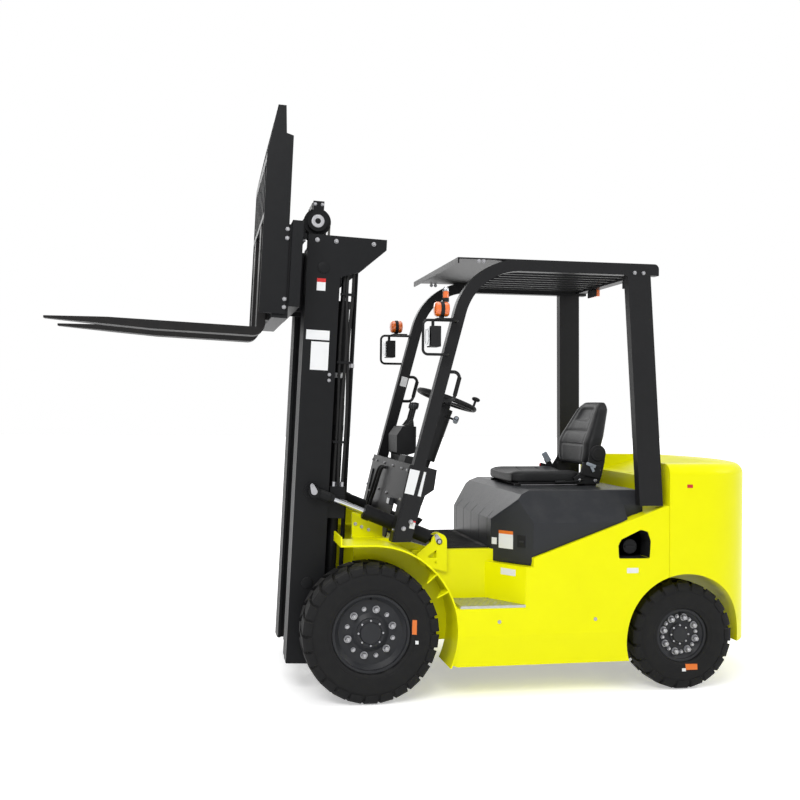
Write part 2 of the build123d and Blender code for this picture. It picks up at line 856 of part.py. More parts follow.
# Dash: front sheet, top sheet and two shaped flanks, with room for the tilt cylinders
flank = side_plate(
    [
        (dash_top_x, dash_top),
        (dash_rear, dash_rear_z),
        (dash_rear - 15, dash_rear_z - 103),
        (dash_rear - 62, dash_rear_z - 134),
        (dash_rear - 83, dash_rear_z - 190),
        (dash_rear - 134, arch_top),
        (dash_foot_x - 6, arch_top),
        (dash_foot_x, dash_foot),
    ],
    dash_half - sheet,
    dash_half,
)
front_sheet = side_plate(
    [
        (dash_foot_x - 6, arch_top),
        (dash_foot_x, dash_foot),
        (dash_top_x, dash_top),
        (dash_top_x + sheet + 2, dash_top),
        (dash_foot_x + sheet + 2, dash_foot),
        (dash_foot_x - 6 + sheet + 2, arch_top),
    ],
    -dash_half,
    dash_half,
)
top_sheet = side_plate(
    [
        (dash_top_x, dash_top),
        (dash_rear, dash_rear_z),
        (dash_rear, dash_rear_z - sheet - 1),
        (dash_top_x + sheet, dash_top - sheet - 1),
    ],
    -dash_half,
    dash_half,
)
dash = joined([front_sheet, top_sheet, flank, across(flank)]) - guard
tilt_room = tilt_bore + 16
for flip in (1, -1):
    dash -= slab(0, 300, flip * (tilt_y - tilt_room), flip * (tilt_y + tilt_room), arch_top - 7, 985)
nodes["dash_panel"] = dash
nodes["floor_mat"] = slab(floor_front + 15, hood_front - 4, -rail_half + 12, rail_half - 12, floor_z, floor_z + mat)
nodes["floor_mat"] -= frame

# Lever console on the dash, with three levers
sheet_fall = (dash_top - dash_rear_z) / (dash_rear - dash_top_x)


def dash_top_at(x):
    """Height of the sloping dash top at x."""
    return dash_top - (x - dash_top_x) * sheet_fall


console_under = dash_top_at(console_front) + console_neck
console = side_plate(
    [
        (console_front + 14, dash_top_at(console_front + 14)),
        (dash_rear - 8, dash_top_at(dash_rear - 8)),
        (dash_rear - 8, console_under),
        (console_rear, console_under + 14),
        (console_rear, console_top),
        (console_front + 34, console_top),
        (console_front, console_top - 50),
        (console_front, console_under + 14),
        (console_front + 14, console_under),
    ],
    console_inner,
    console_outer,
)
console = fillet(console.edges().filter_by(Axis.Z).sort_by(Axis.X)[-2:], 24)
lever_pitch = 60.0
lever_first = console_inner + 50
levers = []
for index in range(3):
    y = lever_first + index * lever_pitch
    levers.append(rod((console_rear - 30, y, console_top), (console_rear, y, console_top + 110), 7))
    levers.append(rod((console_rear - 2, y, console_top + 104), (console_rear + 8, y, console_top + 140), 15))
nodes["lever_console"] = joined([console] + levers)

# Steering column with its shroud and the direction lever, and the steering wheel
column_axis = Vector(sin(radians(column_lean)), 0, cos(radians(column_lean)))
hub_point = Vector(wheel_centre_x, 0, wheel_centre_z)
column_top = hub_point - column_axis * 30
column_foot = column_top - column_axis * ((column_top.Z - floor_z) / column_axis.Z)
column = rod(tuple(column_foot), tuple(column_top), column_radius)
shroud_start = column_top - column_axis * 330
shroud_end = column_top - column_axis * 20
column += rod(tuple(shroud_start), tuple(shroud_end), column_radius + 20)
lever_root = hub_point - column_axis * 90
column += rod(tuple(lever_root), (544, -150, 1424), 6) + rod((544, -140, 1415), (544, -168, 1436), 14)
column -= slab(0, 700, -60, 60, 0, floor_z + mat)
column -= dash
nodes["steering_column"] = column
steering = Plane(origin=hub_point, z_dir=column_axis)
grip_centre = wheel_radius - grip_radius
grip_outline = Plane(origin=(grip_centre, 0, 0), x_dir=(1, 0, 0), z_dir=(0, -1, 0)) * RegularPolygon(grip_radius, 8)
steering_wheel = [steering * revolve(grip_outline, Axis.Z, 360)]
for angle in (0, 120, 240):
    steering_wheel.append(steering * Rot(0, 0, angle) * Pos(grip_centre / 2, 0, -8) * Box(grip_centre, 26, 10))
steering_wheel.append(steering * Pos(0, 0, -12) * Cylinder(32, 34))
steering_wheel.append(steering * Rot(0, 0, 150) * Pos(grip_centre, 0, 34) * Cylinder(8, 60))
steering_wheel.append(steering * Rot(0, 0, 150) * Pos(grip_centre, 0, 54) * Cylinder(20, 22))
nodes["steering_wheel"] = joined(steering_wheel)

# Pedals: clutch on the left, brake and throttle on the right
pedal_height = 90.0
pedals = []
for y, pad_width in ((200, 60), (110, 90), (-110, 70)):
    pad = Pos(330, y, floor_z + mat + pedal_height) * Rot(0, -50, 0) * Box(90, pad_width, 10)
    arm = rod((330, y, floor_z + mat + pedal_height - 4), (252, y, floor_z + mat), 8)
    arm -= slab(0, 600, -600, 600, 0, floor_z + mat)
    pedals.append(pad + arm)
nodes["pedals"] = group(pedals)

# Hood: a rounded shell over the engine, hinged at its rear edge, with the seat on top
hood_foot = floor_z + mat + 2
hood_shoulder = 900.0
hood_seam = 4.0
hood_side = [
    (hood_front, hood_foot),
    (hood_front, hood_shoulder),
    (hood_front + 130, hood_top - 22),
    (hood_front + 180, hood_top),
    (hood_rear - 20, hood_top),
    (hood_rear, hood_top - 20),
    (hood_rear, frame_top_rear - 40),
    (leg_foot_x - 14, 930),
    (slope_front + hood_seam, slope_front_z + hood_seam),
    (slope_front - hood_seam, slope_front_z - skirt_drop + hood_seam),
    (slope_front - 200, slope_front_z - skirt_drop + hood_seam),
    (slope_front - 200, hood_foot),
]
hood_corner_x = slope_front + 6
hood = side_plate(hood_side, -hood_half, hood_half)
hood_plan = flat_plate(
    [
        (hood_front, -wall_half + 12),
        (hood_corner_x, -hood_half),
        (hood_rear, -hood_half),
        (hood_rear, hood_half),
        (hood_corner_x, hood_half),
        (hood_front, wall_half - 12),
    ],
    floor_z - 150,
    hood_top + 100,
)
hood_taper = cross_plate(
    [
        (-hood_half, floor_z - 150),
        (-hood_half, hood_shoulder),
        (-hood_top_half, hood_top + 2),
        (hood_top_half, hood_top + 2),
        (hood_half, hood_shoulder),
        (hood_half, floor_z - 150),
    ],
    hood_front - 10,
    hood_rear + 10,
)
hood = hood & hood_plan & hood_taper
long_edges = hood.edges().filter_by(lambda edge: edge.length > 150 and edge.center().Z > hood_shoulder + 20)
hood = fillet(long_edges.filter_by(lambda edge: abs(edge.center().Y) > hood_top_half - 60), hood_round)
hollow = side_plate(
    [
        (hood_front + hood_wall, hood_foot - 5),
        (hood_front + hood_wall, hood_shoulder - 5),
        (hood_front + hood_wall + 126, hood_top - 32),
        (hood_rear - hood_wall, hood_top - 22),
        (hood_rear - hood_wall, floor_z - 150),
        (hood_front + hood_wall, floor_z - 150),
    ],
    -hood_top_half + 10,
    hood_top_half - 10,
)
hollow &= flat_plate(
    [
        (hood_front + hood_wall, -wall_half + 30),
        (slope_front + 20, -hood_top_half),
        (hood_rear, -hood_top_half),
        (hood_rear, hood_top_half),
        (slope_front + 20, hood_top_half),
        (hood_front + hood_wall, wall_half - 30),
    ],
    floor_z - 250,
    hood_top + 100,
)
hood -= hollow
hood -= frame
rib_pitch = 2 * (wall_half - 80) / hood_ribs
for index in range(hood_ribs + 1):
    y = rib_pitch * (index - hood_ribs / 2)
    hood -= side_plate(
        [
            (hood_front - 5, hood_foot + 20),
            (hood_front - 5, hood_shoulder + 20),
            (hood_front + 90, hood_shoulder + 96),
            (hood_front + 84, hood_shoulder + 100),
            (hood_front + 3, hood_shoulder - 4),
            (hood_front + 3, hood_foot + 20),
        ],
        y - 2.5,
        y + 2.5,
    )
for flip in (1, -1):
    leg_side = flip * (leg_foot_half - guard_post - 14)
    hood -= slab(leg_foot_x - 60, hood_rear + 30, leg_side, flip * 700, floor_z - 150, hood_top + 100)
    hood += disc_y(hinge_x, hinge_z, hinge_radius, flip * 300, flip * 380)
nodes["hood"] = hood

# Seat on its frame, with a cushion and a back that leans and narrows toward its top
seat_base_z = hood_top
cushion_rear = cushion_front + cushion_length
back_foot_x = cushion_rear + 12
back_foot_z = seat_base_z + back_foot
back_top_z = back_foot_z + back_height
back_bend_z = back_foot_z + back_height * 0.38
back_front_x = back_foot_x + back_lean
seat_frame = slab(
    cushion_front + 60, back_foot_x + 70, -seat_half + 30, seat_half - 30, seat_base_z, seat_base_z + seat_plate
)
for flip in (1, -1):
    arm_in = flip * (seat_half - 45)
    arm_out = flip * (seat_half - 5)
    seat_frame += side_plate(
        [
            (back_foot_x, seat_base_z),
            (back_foot_x + 66, seat_base_z),
            (back_foot_x + 88, back_foot_z - 40),
            (back_foot_x + 84, back_foot_z),
            (back_foot_x + 8, back_foot_z),
            (back_foot_x, seat_base_z + 60),
        ],
        arm_in,
        arm_out,
    )
cushion_low = seat_base_z + seat_plate
cushion = slab(cushion_front, cushion_rear, -seat_half, seat_half, cushion_low, cushion_low + cushion_thick)
cushion = fillet(cushion.edges().filter_by(Axis.Z), 60)
cushion = fillet(cushion.edges().group_by(Axis.Z)[-1], 24)
back_edges = [
    Line((back_foot_x, back_foot_z), (back_foot_x + 6, back_bend_z)),
    Line((back_foot_x + 6, back_bend_z), (back_front_x, back_top_z - 22)),
    ThreePointArc(
        (back_front_x, back_top_z - 22), (back_front_x + 40, back_top_z), (back_front_x + 80, back_top_z - 18)
    ),
    Line((back_front_x + 80, back_top_z - 18), (back_foot_x + 120, back_bend_z)),
    Line((back_foot_x + 120, back_bend_z), (back_foot_x + 90, back_foot_z)),
    Line((back_foot_x + 90, back_foot_z), (back_foot_x, back_foot_z)),
]
seat_back = side_outline_plate(back_edges, -seat_half, seat_half)
back_face = [
    (seat_half * 0.88, back_foot_z - 5),
    (seat_half, back_bend_z - 60),
    (seat_half, back_bend_z + 20),
    (back_shoulder, back_top_z + 5),
]
back_face += [(-y, z) for y, z in reversed(back_face)]
seat_back &= cross_plate(back_face, back_foot_x - 5, back_foot_x + 300)
nodes["seat_frame"] = seat_frame
nodes["seat_cushion"] = cushion
nodes["seat_back"] = seat_back

# Mast, drawn upright and leaned back at the end: three pairs of rails side by side
outer_inner = mast_half - flange_width
middle_outer = outer_inner - lane_gap
middle_inner = middle_outer - middle_width
inner_outer = middle_inner - lane_gap
inner_inner = inner_outer - inner_width
rail_rear = rail_front + rail_depth
middle_rear = rail_rear - stage_step
inner_rear = middle_rear - stage_step
middle_top = mast_top - 10
tie_thin = 8.0
pad_low = 110.0
pad_high = 10.0


def channel(outer, inner, front, rear, low, high):
    """Rail with its web on the outside and two flanges inward."""
    shape = slab(front, rear, outer - rail_web, outer, low, high)
    shape += slab(front, front + flange, inner, outer, low, high)
    shape += slab(rear - flange, rear, inner, outer, low, high)
    return shape


def beam(outer, inner, rear, low, high):
    """Rail with a web between two full flanges."""
    web = inner + beam_web_in
    shape = slab(rail_front, rear, web, web + beam_web, low, high)
    shape += slab(rail_front, rail_front + beam_flange, inner, outer, low, high)
    shape += slab(rear - beam_flange, rear, inner, outer, low, high)
    return shape


def wear_pad(outer, inner, top):
    """Pad at the head of a rail that the next rail slides on."""
    return slab(rail_front, rail_front + beam_flange, outer + running_gap, inner, top - pad_low, top - pad_high)


# Outer mast: rails, axle hooks, tilt bosses, yoke and ties
outer_rail = channel(mast_half, outer_inner, rail_front, rail_rear, mast_foot, mast_top)
hook_reach = axle_tube + 40
hook = side_plate(
    [
        (rail_rear, axle_z - hook_reach),
        (hook_reach - 50, axle_z - hook_reach),
        (hook_reach, axle_z - hook_reach + 50),
        (hook_reach, axle_z + hook_reach - 50),
        (hook_reach - 50, axle_z + hook_reach),
        (rail_rear, axle_z + hook_reach + 90),
    ],
    outer_inner + 12,
    mast_half - 8,
)
hook -= disc_y(0, axle_z, axle_tube + running_gap, 0, mast_half)
boss = disc_y(tilt_boss_x, tilt_boss_z, 45, mast_half - 2, mast_half + 8)
boss += disc_y(tilt_boss_x, tilt_boss_z, eye_pin, mast_half, tilt_y + eye_half + 12)
cap_bar = slab(rail_front, yoke_rear, mast_half - 12, mast_half, mast_top, mast_top + yoke_height)
cap_bar += slab(rail_front, rail_rear, outer_inner, mast_half, mast_top, mast_top + yoke_height)
gusset = side_plate(
    [(rail_rear, mast_top), (yoke_rear, mast_top), (rail_rear + 95, mast_top - 128), (rail_rear, mast_top - 160)],
    mast_half - 12,
    mast_half,
)
tie_rear = tie_front + tie_plate
tie_half = mast_half - 12
mid_ear = slab(rail_rear, tie_rear, outer_inner + 12, tie_half, mid_tie_low, mid_tie_high)
low_ear = slab(rail_rear, tie_rear, outer_inner + 12, tie_half, mast_foot, mast_foot + 110)
outer_pad = wear_pad(middle_outer, outer_inner, mast_top)
outer_half = joined([outer_pad, outer_rail, hook, boss, cap_bar, gusset, mid_ear, low_ear])
yoke = slab(yoke_rear - yoke_plate, yoke_rear, -mast_half, mast_half, mast_top, mast_top + yoke_height)
mid_tie = slab(tie_front, tie_rear, -tie_half, tie_half, mid_tie_low, mid_tie_high)
low_tie = slab(tie_front, tie_rear, -tie_half, tie_half, mast_foot - 20, mast_foot + 110)
outer_mast = joined([outer_half, across(outer_half), yoke, mid_tie, low_tie])
nodes["outer_mast"] = lean * outer_mast

# Lift cylinders behind the rails, open inside for their rods
barrel = rod((lift_x, lift_y, mast_foot + 30), (lift_x, lift_y, lift_top), lift_radius)
barrel += rod((lift_x, lift_y, lift_top - 40), (lift_x, lift_y, lift_top), lift_radius + 5)
barrel += slab(lift_x - 20, tie_front, lift_y - 25, lift_y + 25, mast_foot + 10, mast_foot + 40)
barrel += slab(lift_x + 20, tie_front, lift_y - 20, lift_y + 20, mid_tie_low + 30, mid_tie_high - 30)
barrel -= outer_mast
barrel -= rod((lift_x, lift_y, mast_foot + 90), (lift_x, lift_y, lift_top + 1), lift_rod + running_gap)
nodes["lift_cylinders"] = lean * group(both(barrel))

# Middle mast with its ties, the rods that lift it and the chains beside them
middle_rail = beam(middle_outer, middle_inner, middle_rear, mast_foot, middle_top)
middle_half = middle_rail + wear_pad(inner_outer, middle_inner, middle_top)
head_plate_low = middle_top - 60
middle_ties = [
    slab(middle_rear, middle_rear + tie_thin, -middle_outer, middle_outer, mast_foot + 20, mast_foot + 140),
    slab(middle_rear, middle_rear + tie_thin, -middle_outer, middle_outer, middle_top - 150, middle_top - 40),
    slab(middle_rear + tie_thin, lift_x + 26, -middle_outer, middle_outer, head_plate_low, middle_top - 40),
]
nodes["middle_mast"] = lean * joined([middle_half, across(middle_half)] + middle_ties)
lift_rod_shape = rod((lift_x, lift_y, mast_foot + 120), (lift_x, lift_y, head_plate_low), lift_rod)
nodes["lift_rods"] = lean * group(both(lift_rod_shape))
chain_y = lift_y + lift_rod + 3
rear_chain = slab(lift_x - 8, lift_x + 8, chain_y, chain_y + chain_depth, lift_top + 20, head_plate_low)
nodes["lift_chains"] = lean * group(both(rear_chain))

# Inner mast, its free lift cylinder and the chain anchors
inner_rail = beam(inner_outer, inner_inner, inner_rear, mast_foot + 10, middle_top)
inner_ties = [
    slab(inner_rear, inner_rear + tie_thin, -inner_outer, inner_outer, mast_foot + 30, mast_foot + 150),
    slab(inner_rear, inner_rear + tie_thin, -inner_outer, inner_outer, middle_top - 160, middle_top - 50),
    slab(free_x - 50, inner_rear, -60, 60, mast_foot + 30, mast_foot + 50),
]
nodes["inner_mast"] = lean * joined([inner_rail, across(inner_rail)] + inner_ties)
chain_rear = free_x + chain_radius
free_cylinder = rod((free_x, 0, mast_foot + 50), (free_x, 0, free_top), free_radius)
free_cylinder += rod((free_x, 0, free_top - 50), (free_x, 0, free_top), free_radius + 5)
free_cylinder += slab(
    free_x + free_radius - 10,
    chain_rear + chain_depth,
    -sheave_y - 12,
    sheave_y + 12,
    chain_anchor_z - 25,
    chain_anchor_z,
)
free_cylinder -= rod((free_x, 0, mast_foot + 80), (free_x, 0, free_top + 1), free_rod + running_gap)
nodes["free_lift_cylinder"] = lean * free_cylinder
free_chains = []
for y in (-sheave_y, sheave_y):
    free_chains.append(
        slab(chain_rear, chain_rear + chain_depth, y - chain_half, y + chain_half, chain_anchor_z, head_z - running_gap)
    )
nodes["free_lift_chains"] = lean * group(free_chains)

# Crosshead on the free lift rod: fork, pin, two grooved sheaves and the chains round them
head_half = sheave_y + 40
head = rod((free_x, 0, free_top - 120), (free_x, 0, head_z - 20), free_rod)
head += slab(free_x - 45, free_x + 45, -head_half, head_half, head_z - 30, head_z + 30)
head += slab(free_x - 30, free_x + 30, -head_half, head_half, head_z + 30, head_z + 110)
for y in (-sheave_y, sheave_y):
    head -= slab(free_x - 90, free_x + 90, y - 16, y + 16, head_z - 90, head_z + 120)
head += disc_y(free_x, head_z, 38, -head_half, head_half)
sheaves = []
for y in (-sheave_y, sheave_y):
    wheel = disc_y(free_x, head_z, sheave_radius, y - 14, y + 14)
    wheel -= ring_y(free_x, head_z, sheave_radius + 5, chain_radius, y - chain_half, y + chain_half)
    wrap = ring_y(free_x, head_z, chain_radius + chain_depth, chain_radius, y - chain_half, y + chain_half)
    wrap -= slab(free_x - 90, free_x + 90, y - 20, y + 20, head_z - 90, head_z)
    run_front = free_x - chain_radius - chain_depth
    wrap += slab(run_front, run_front + chain_depth, y - chain_half, y + chain_half, anchor_bar_z, head_z)
    sheaves.append(wheel + wrap)
nodes["crosshead"] = lean * joined([head] + sheaves)

# Steel pipes down the rear of the mast, clipped to its yoke and its middle tie
pipe_x = tie_rear + 20
pipes = []
for y in (-200, -165):
    pipe = rod((pipe_x, y, 330), (pipe_x, y, mast_top + 20), pipe_radius)
    pipe += slab(tie_rear, pipe_x + 4, y - 12, y + 12, mid_tie_low + 40, mid_tie_low + 70)
    pipe += slab(pipe_x - 4, yoke_rear - yoke_plate, y - 8, y + 8, mast_top + 10, mast_top + 26)
    pipes.append(pipe)
nodes["mast_pipes"] = lean * group(pipes)

# Carriage: two bars, uprights and roller arms that run inside the inner rails
roller_x = (rail_front + inner_rear) / 2
roller_radius = (inner_rear - rail_front) / 2 - beam_flange - running_gap
upright_y = 120.0
bar_half = carriage_half - 20
carriage = slab(bar_front, bar_rear, -bar_half, bar_half, carriage_high - carriage_bar, carriage_high)
carriage += slab(bar_front, bar_rear, -bar_half, bar_half, carriage_low, carriage_low + carriage_bar)
carriage += slab(bar_rear, free_x - free_radius - 10, -140, 140, anchor_bar_z - 25, anchor_bar_z - running_gap)
for flip in (1, -1):
    carriage += slab(bar_front, bar_rear, flip * upright_y, flip * (upright_y + 80), carriage_low, carriage_high)
    carriage += slab(bar_front, bar_rear, flip * (bar_half - 40), flip * bar_half, carriage_low, carriage_high)
    arm = side_plate(
        [
            (bar_rear, carriage_low + 10),
            (roller_x + 50, carriage_low + 10),
            (roller_x + 50, carriage_low + 130),
            (roller_x - 20, carriage_low + 180),
            (roller_x + 50, middle_top - 150),
            (roller_x + 50, middle_top - 20),
            (bar_rear, middle_top - 20),
        ],
        flip * 132,
        flip * 150,
    )
    carriage += arm
    for z in (carriage_low + 70, middle_top - 90):
        carriage += disc_y(roller_x, z, roller_radius, flip * 150, flip * (inner_inner + 16))
nodes["carriage"] = lean * carriage

# Side shifting fork carriage, the load backrest on it and the forks
shift_front = fork_face + fork_thick
shift_rear = bar_front - running_gap
hook_z = fork_base + fork_thick + 40
shift_top = carriage_high - 20
bar_grip = 60.0
fork_carriage = slab(
    shift_front + 20, shift_rear, 40 - carriage_half, carriage_half - 40, shift_top - 100, shift_top
)
fork_carriage += slab(shift_front + 20, shift_rear, 40 - carriage_half, carriage_half - 40, hook_z, hook_z + 90)
for flip in (1, -1):
    fork_carriage += slab(
        shift_front + 20, shift_rear, flip * (carriage_half - 80), flip * (carriage_half - 40), hook_z, shift_top
    )
    fork_carriage += slab(shift_front + 20, shift_rear, flip * 20, flip * 60, hook_z, shift_top)
nodes["fork_carriage"] = lean * fork_carriage
backrest_bend = backrest_top - backrest_bend_drop
side = side_plate(
    [
        (fork_face, hook_z + 20),
        (fork_face, backrest_bend),
        (fork_face + backrest_back, backrest_top),
        (fork_face + 85, backrest_top),
        (fork_face + 94, backrest_bend + 108),
        (fork_face + 130, backrest_bend + 98),
        (fork_face + 134, hook_z + 20),
    ],
    carriage_half - 40,
    carriage_half - 28,
)
bar_pitch = 2 * (carriage_half - 40) / (backrest_bars + 1)
bars_low = carriage_high
rails = []
for index in range(backrest_bars):
    y = 40 - carriage_half + bar_pitch * (index + 1)
    rails.append(slab(fork_face, fork_face + 30, y - 12, y + 12, bars_low, backrest_bend - 12))
    rails.append(
        side_plate(
            [
                (fork_face, backrest_bend - 14),
                (fork_face + backrest_back - 3, backrest_top - 20),
                (fork_face + backrest_back + 22, backrest_top - 20),
                (fork_face + 25, backrest_bend - 14),
            ],
            y - 12,
            y + 12,
        )
    )
head_bar_high = 40.0
head_slope = backrest_back / backrest_bend_drop
head_bar = side_plate(
    [
        (fork_face + backrest_back - head_bar_high * head_slope, backrest_top - head_bar_high),
        (fork_face + backrest_back, backrest_top),
        (fork_face + backrest_back + 28, backrest_top),
        (fork_face + backrest_back + 28 - head_bar_high * head_slope, backrest_top - head_bar_high),
    ],
    40 - carriage_half,
    carriage_half - 40,
)
middle_bar = slab(
    fork_face, fork_face + 25, 40 - carriage_half, carriage_half - 40, backrest_bend - 42, backrest_bend
)
low_bar = slab(fork_face, fork_face + 30, 40 - carriage_half, carriage_half - 40, bars_low, bars_low + 30)
backrest = joined([side, across(side), head_bar, middle_bar, low_bar] + rails)
nodes["load_backrest"] = lean * (backrest - fork_carriage)
shank_top = shift_top + 12
tip_x = fork_face - fork_length
heel_x = shift_front - fork_heel
heel_turn = fork_heel * (1 - sin(pi / 4))
fork_edges = [
    Line((tip_x, fork_base + 22), (tip_x, fork_base + 22 + fork_tip)),
    Line((tip_x, fork_base + 22 + fork_tip), (tip_x + 0.3 * fork_length, fork_base + fork_thick)),
    Line((tip_x + 0.3 * fork_length, fork_base + fork_thick), (fork_face, fork_base + fork_thick)),
    Line((fork_face, fork_base + fork_thick), (fork_face, shank_top)),
    Line((fork_face, shank_top), (shift_front, shank_top)),
    Line((shift_front, shank_top), (shift_front, fork_base + fork_heel)),
    ThreePointArc(
        (shift_front, fork_base + fork_heel),
        (shift_front - heel_turn, fork_base + heel_turn),
        (heel_x, fork_base),
    ),
    Line((heel_x, fork_base), (tip_x + 0.5 * fork_length, fork_base)),
    Line((tip_x + 0.5 * fork_length, fork_base), (tip_x, fork_base + 22)),
]
fork = side_outline_plate(fork_edges, fork_spread - fork_width / 2, fork_spread + fork_width / 2)
tip_taper = 0.25 * fork_length
for flip in (1, -1):
    edge_y = fork_spread + flip * fork_width / 2
    fork -= flat_plate(
        [
            (tip_x - 5, edge_y - flip * 34),
            (tip_x + tip_taper, edge_y),
            (tip_x + tip_taper, edge_y + flip * 5),
            (tip_x - 5, edge_y + flip * 5),
        ],
        fork_base - 5,
        fork_base + fork_thick + 5,
    )
for low, high in ((hook_z, hook_z + 60), (shift_top - 60, shift_top)):
    fork += slab(shift_front, shift_front + 20, fork_spread - 40, fork_spread + 40, low, high)
nodes["fork_right"] = lean * fork
nodes["fork_left"] = lean * across(fork)

# Tilt cylinders, from the leaned mast to the frame
lean_angle = radians(mast_lean)
boss_x = tilt_boss_x * cos(lean_angle) + (tilt_boss_z - axle_z) * sin(lean_angle)
boss_z = axle_z - tilt_boss_x * sin(lean_angle) + (tilt_boss_z - axle_z) * cos(lean_angle)
tilt_length = hypot(tilt_pin_x - boss_x, tilt_pin_z - boss_z)
tilt_x = (boss_x - tilt_pin_x) / tilt_length
tilt_z = (boss_z - tilt_pin_z) / tilt_length


def along(distance):
    """Point on the tilt cylinder's axis, from its rear pin."""
    return (tilt_pin_x + tilt_x * distance, tilt_y, tilt_pin_z + tilt_z * distance)


barrel_start = eye_radius + 24
tilt_barrel = rod(along(barrel_start), along(tilt_gland), tilt_bore)
tilt_barrel += rod(along(tilt_gland - 36), along(tilt_gland - 6), tilt_bore + 3)
tilt_barrel += rod(along(eye_radius - 8), along(barrel_start + 2), tilt_rod_radius + 3)
tilt_barrel += ring_y(tilt_pin_x, tilt_pin_z, eye_radius, eye_pin + rod_gap, tilt_y - eye_half, tilt_y + eye_half)
tilt_barrel -= rod(along(120), along(tilt_gland + 5), tilt_rod_radius + rod_gap)
tilt_rod = rod(along(260), along(tilt_length - eye_radius + 6), tilt_rod_radius)
tilt_rod += ring_y(boss_x, boss_z, eye_radius, eye_pin + eye_play, tilt_y - eye_half, tilt_y + eye_half)
nodes["tilt_barrel_right"] = tilt_barrel
nodes["tilt_barrel_left"] = across(tilt_barrel)
nodes["tilt_rod_right"] = tilt_rod
nodes["tilt_rod_left"] = across(tilt_rod)

fork_box = nodes["fork_right"].bounding_box()
middle_x = (fork_box.min.X + weight_rear) / 2
os.makedirs("parts", exist_ok=True)
for name, shape in nodes.items():
    export_step(Pos(-middle_x, 0, 0) * shape, f"parts/{name}.step")
    print(name, round(shape.volume))
print("middle_x", middle_x, "boss", boss_x, boss_z, "length", tilt_length, "u", tilt_x, tilt_z)
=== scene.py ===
"""A counterbalanced forklift truck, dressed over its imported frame.

Lengths are in metres. Pieces are drawn in the truck's own drawing frame, where X
runs rearward from the front axle, Y to the right of the driver and Z up from the
ground. Mast pieces are drawn upright and leaned back with the mast.
"""

from __future__ import annotations

import json
import logging
import math
from collections.abc import Callable
from dataclasses import dataclass, field
from enum import Enum

import bmesh
import bpy
from mathutils import Matrix, Vector

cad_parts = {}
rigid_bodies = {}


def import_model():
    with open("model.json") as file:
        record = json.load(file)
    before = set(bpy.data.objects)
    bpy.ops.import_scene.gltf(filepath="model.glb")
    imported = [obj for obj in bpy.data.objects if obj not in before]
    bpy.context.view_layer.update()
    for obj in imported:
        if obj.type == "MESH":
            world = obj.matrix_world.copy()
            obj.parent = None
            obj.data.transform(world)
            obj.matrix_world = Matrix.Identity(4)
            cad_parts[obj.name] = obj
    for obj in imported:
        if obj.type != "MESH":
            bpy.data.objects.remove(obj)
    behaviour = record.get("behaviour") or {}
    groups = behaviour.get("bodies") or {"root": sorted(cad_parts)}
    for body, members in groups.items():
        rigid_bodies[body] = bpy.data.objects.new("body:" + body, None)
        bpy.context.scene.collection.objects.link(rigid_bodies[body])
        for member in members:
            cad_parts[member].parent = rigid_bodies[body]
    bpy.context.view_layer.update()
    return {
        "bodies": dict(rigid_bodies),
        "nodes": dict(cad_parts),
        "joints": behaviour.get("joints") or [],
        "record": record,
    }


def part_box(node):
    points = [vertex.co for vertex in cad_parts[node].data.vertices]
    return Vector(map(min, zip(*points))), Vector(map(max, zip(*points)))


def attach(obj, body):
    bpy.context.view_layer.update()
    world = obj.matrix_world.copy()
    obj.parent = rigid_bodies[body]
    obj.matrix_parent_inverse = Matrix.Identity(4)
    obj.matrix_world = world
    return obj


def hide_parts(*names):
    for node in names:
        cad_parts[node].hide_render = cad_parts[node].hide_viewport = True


logging.basicConfig(level=logging.INFO, format="%(message)s")
LOG = logging.getLogger("forklift")

FRONT_RADIUS = 0.352
REAR_RADIUS = 0.286
WHEELBASE = 1.695
MAST_LEAN = math.radians(2.5)
MAST_HALF = 0.350
BODY_HALF = 0.612
GUARD_HALF = 0.523
GUARD_LEAN = math.radians(14.8)
SMALL_PIECE_ANGLE = 30.0
HOSE_RADIUS = 0.0085

Point = tuple[float, float, float] | Vector
Points = list[Point] | tuple[Point, ...]
Outline = list[tuple[float, float]]
Pair = tuple[float, float]


class Side(Enum):
    """The two sides of the truck, with the sign of Y on each."""

    LEFT = ("left", -1.0)
    RIGHT = ("right", 1.0)

    @property
    def label(self) -> str:
        """Ending of the names of nodes and bodies on this side."""
        return self.value[0]

    @property
    def sign(self) -> float:
        """Sign of Y on this side."""
        return self.value[1]


class Frame(Enum):
    """Drawing frames that pieces are made in."""

    TRUCK = "truck"
    MAST = "mast"


def drawing_matrix(frame: Frame) -> Matrix:
    """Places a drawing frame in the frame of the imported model.

    Args:
        frame: The drawing frame.

    Returns:
        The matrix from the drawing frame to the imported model.
    """
    low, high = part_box("front_tyre_left")
    shift = Matrix.Translation(((low.x + high.x) / 2, 0.0, 0.0))
    if frame is Frame.TRUCK:
        return shift
    up = Matrix.Translation((0.0, 0.0, FRONT_RADIUS))
    down = Matrix.Translation((0.0, 0.0, -FRONT_RADIUS))
    return shift @ up @ Matrix.Rotation(MAST_LEAN, 4, "Y") @ down


# Shader node groups shared by several materials


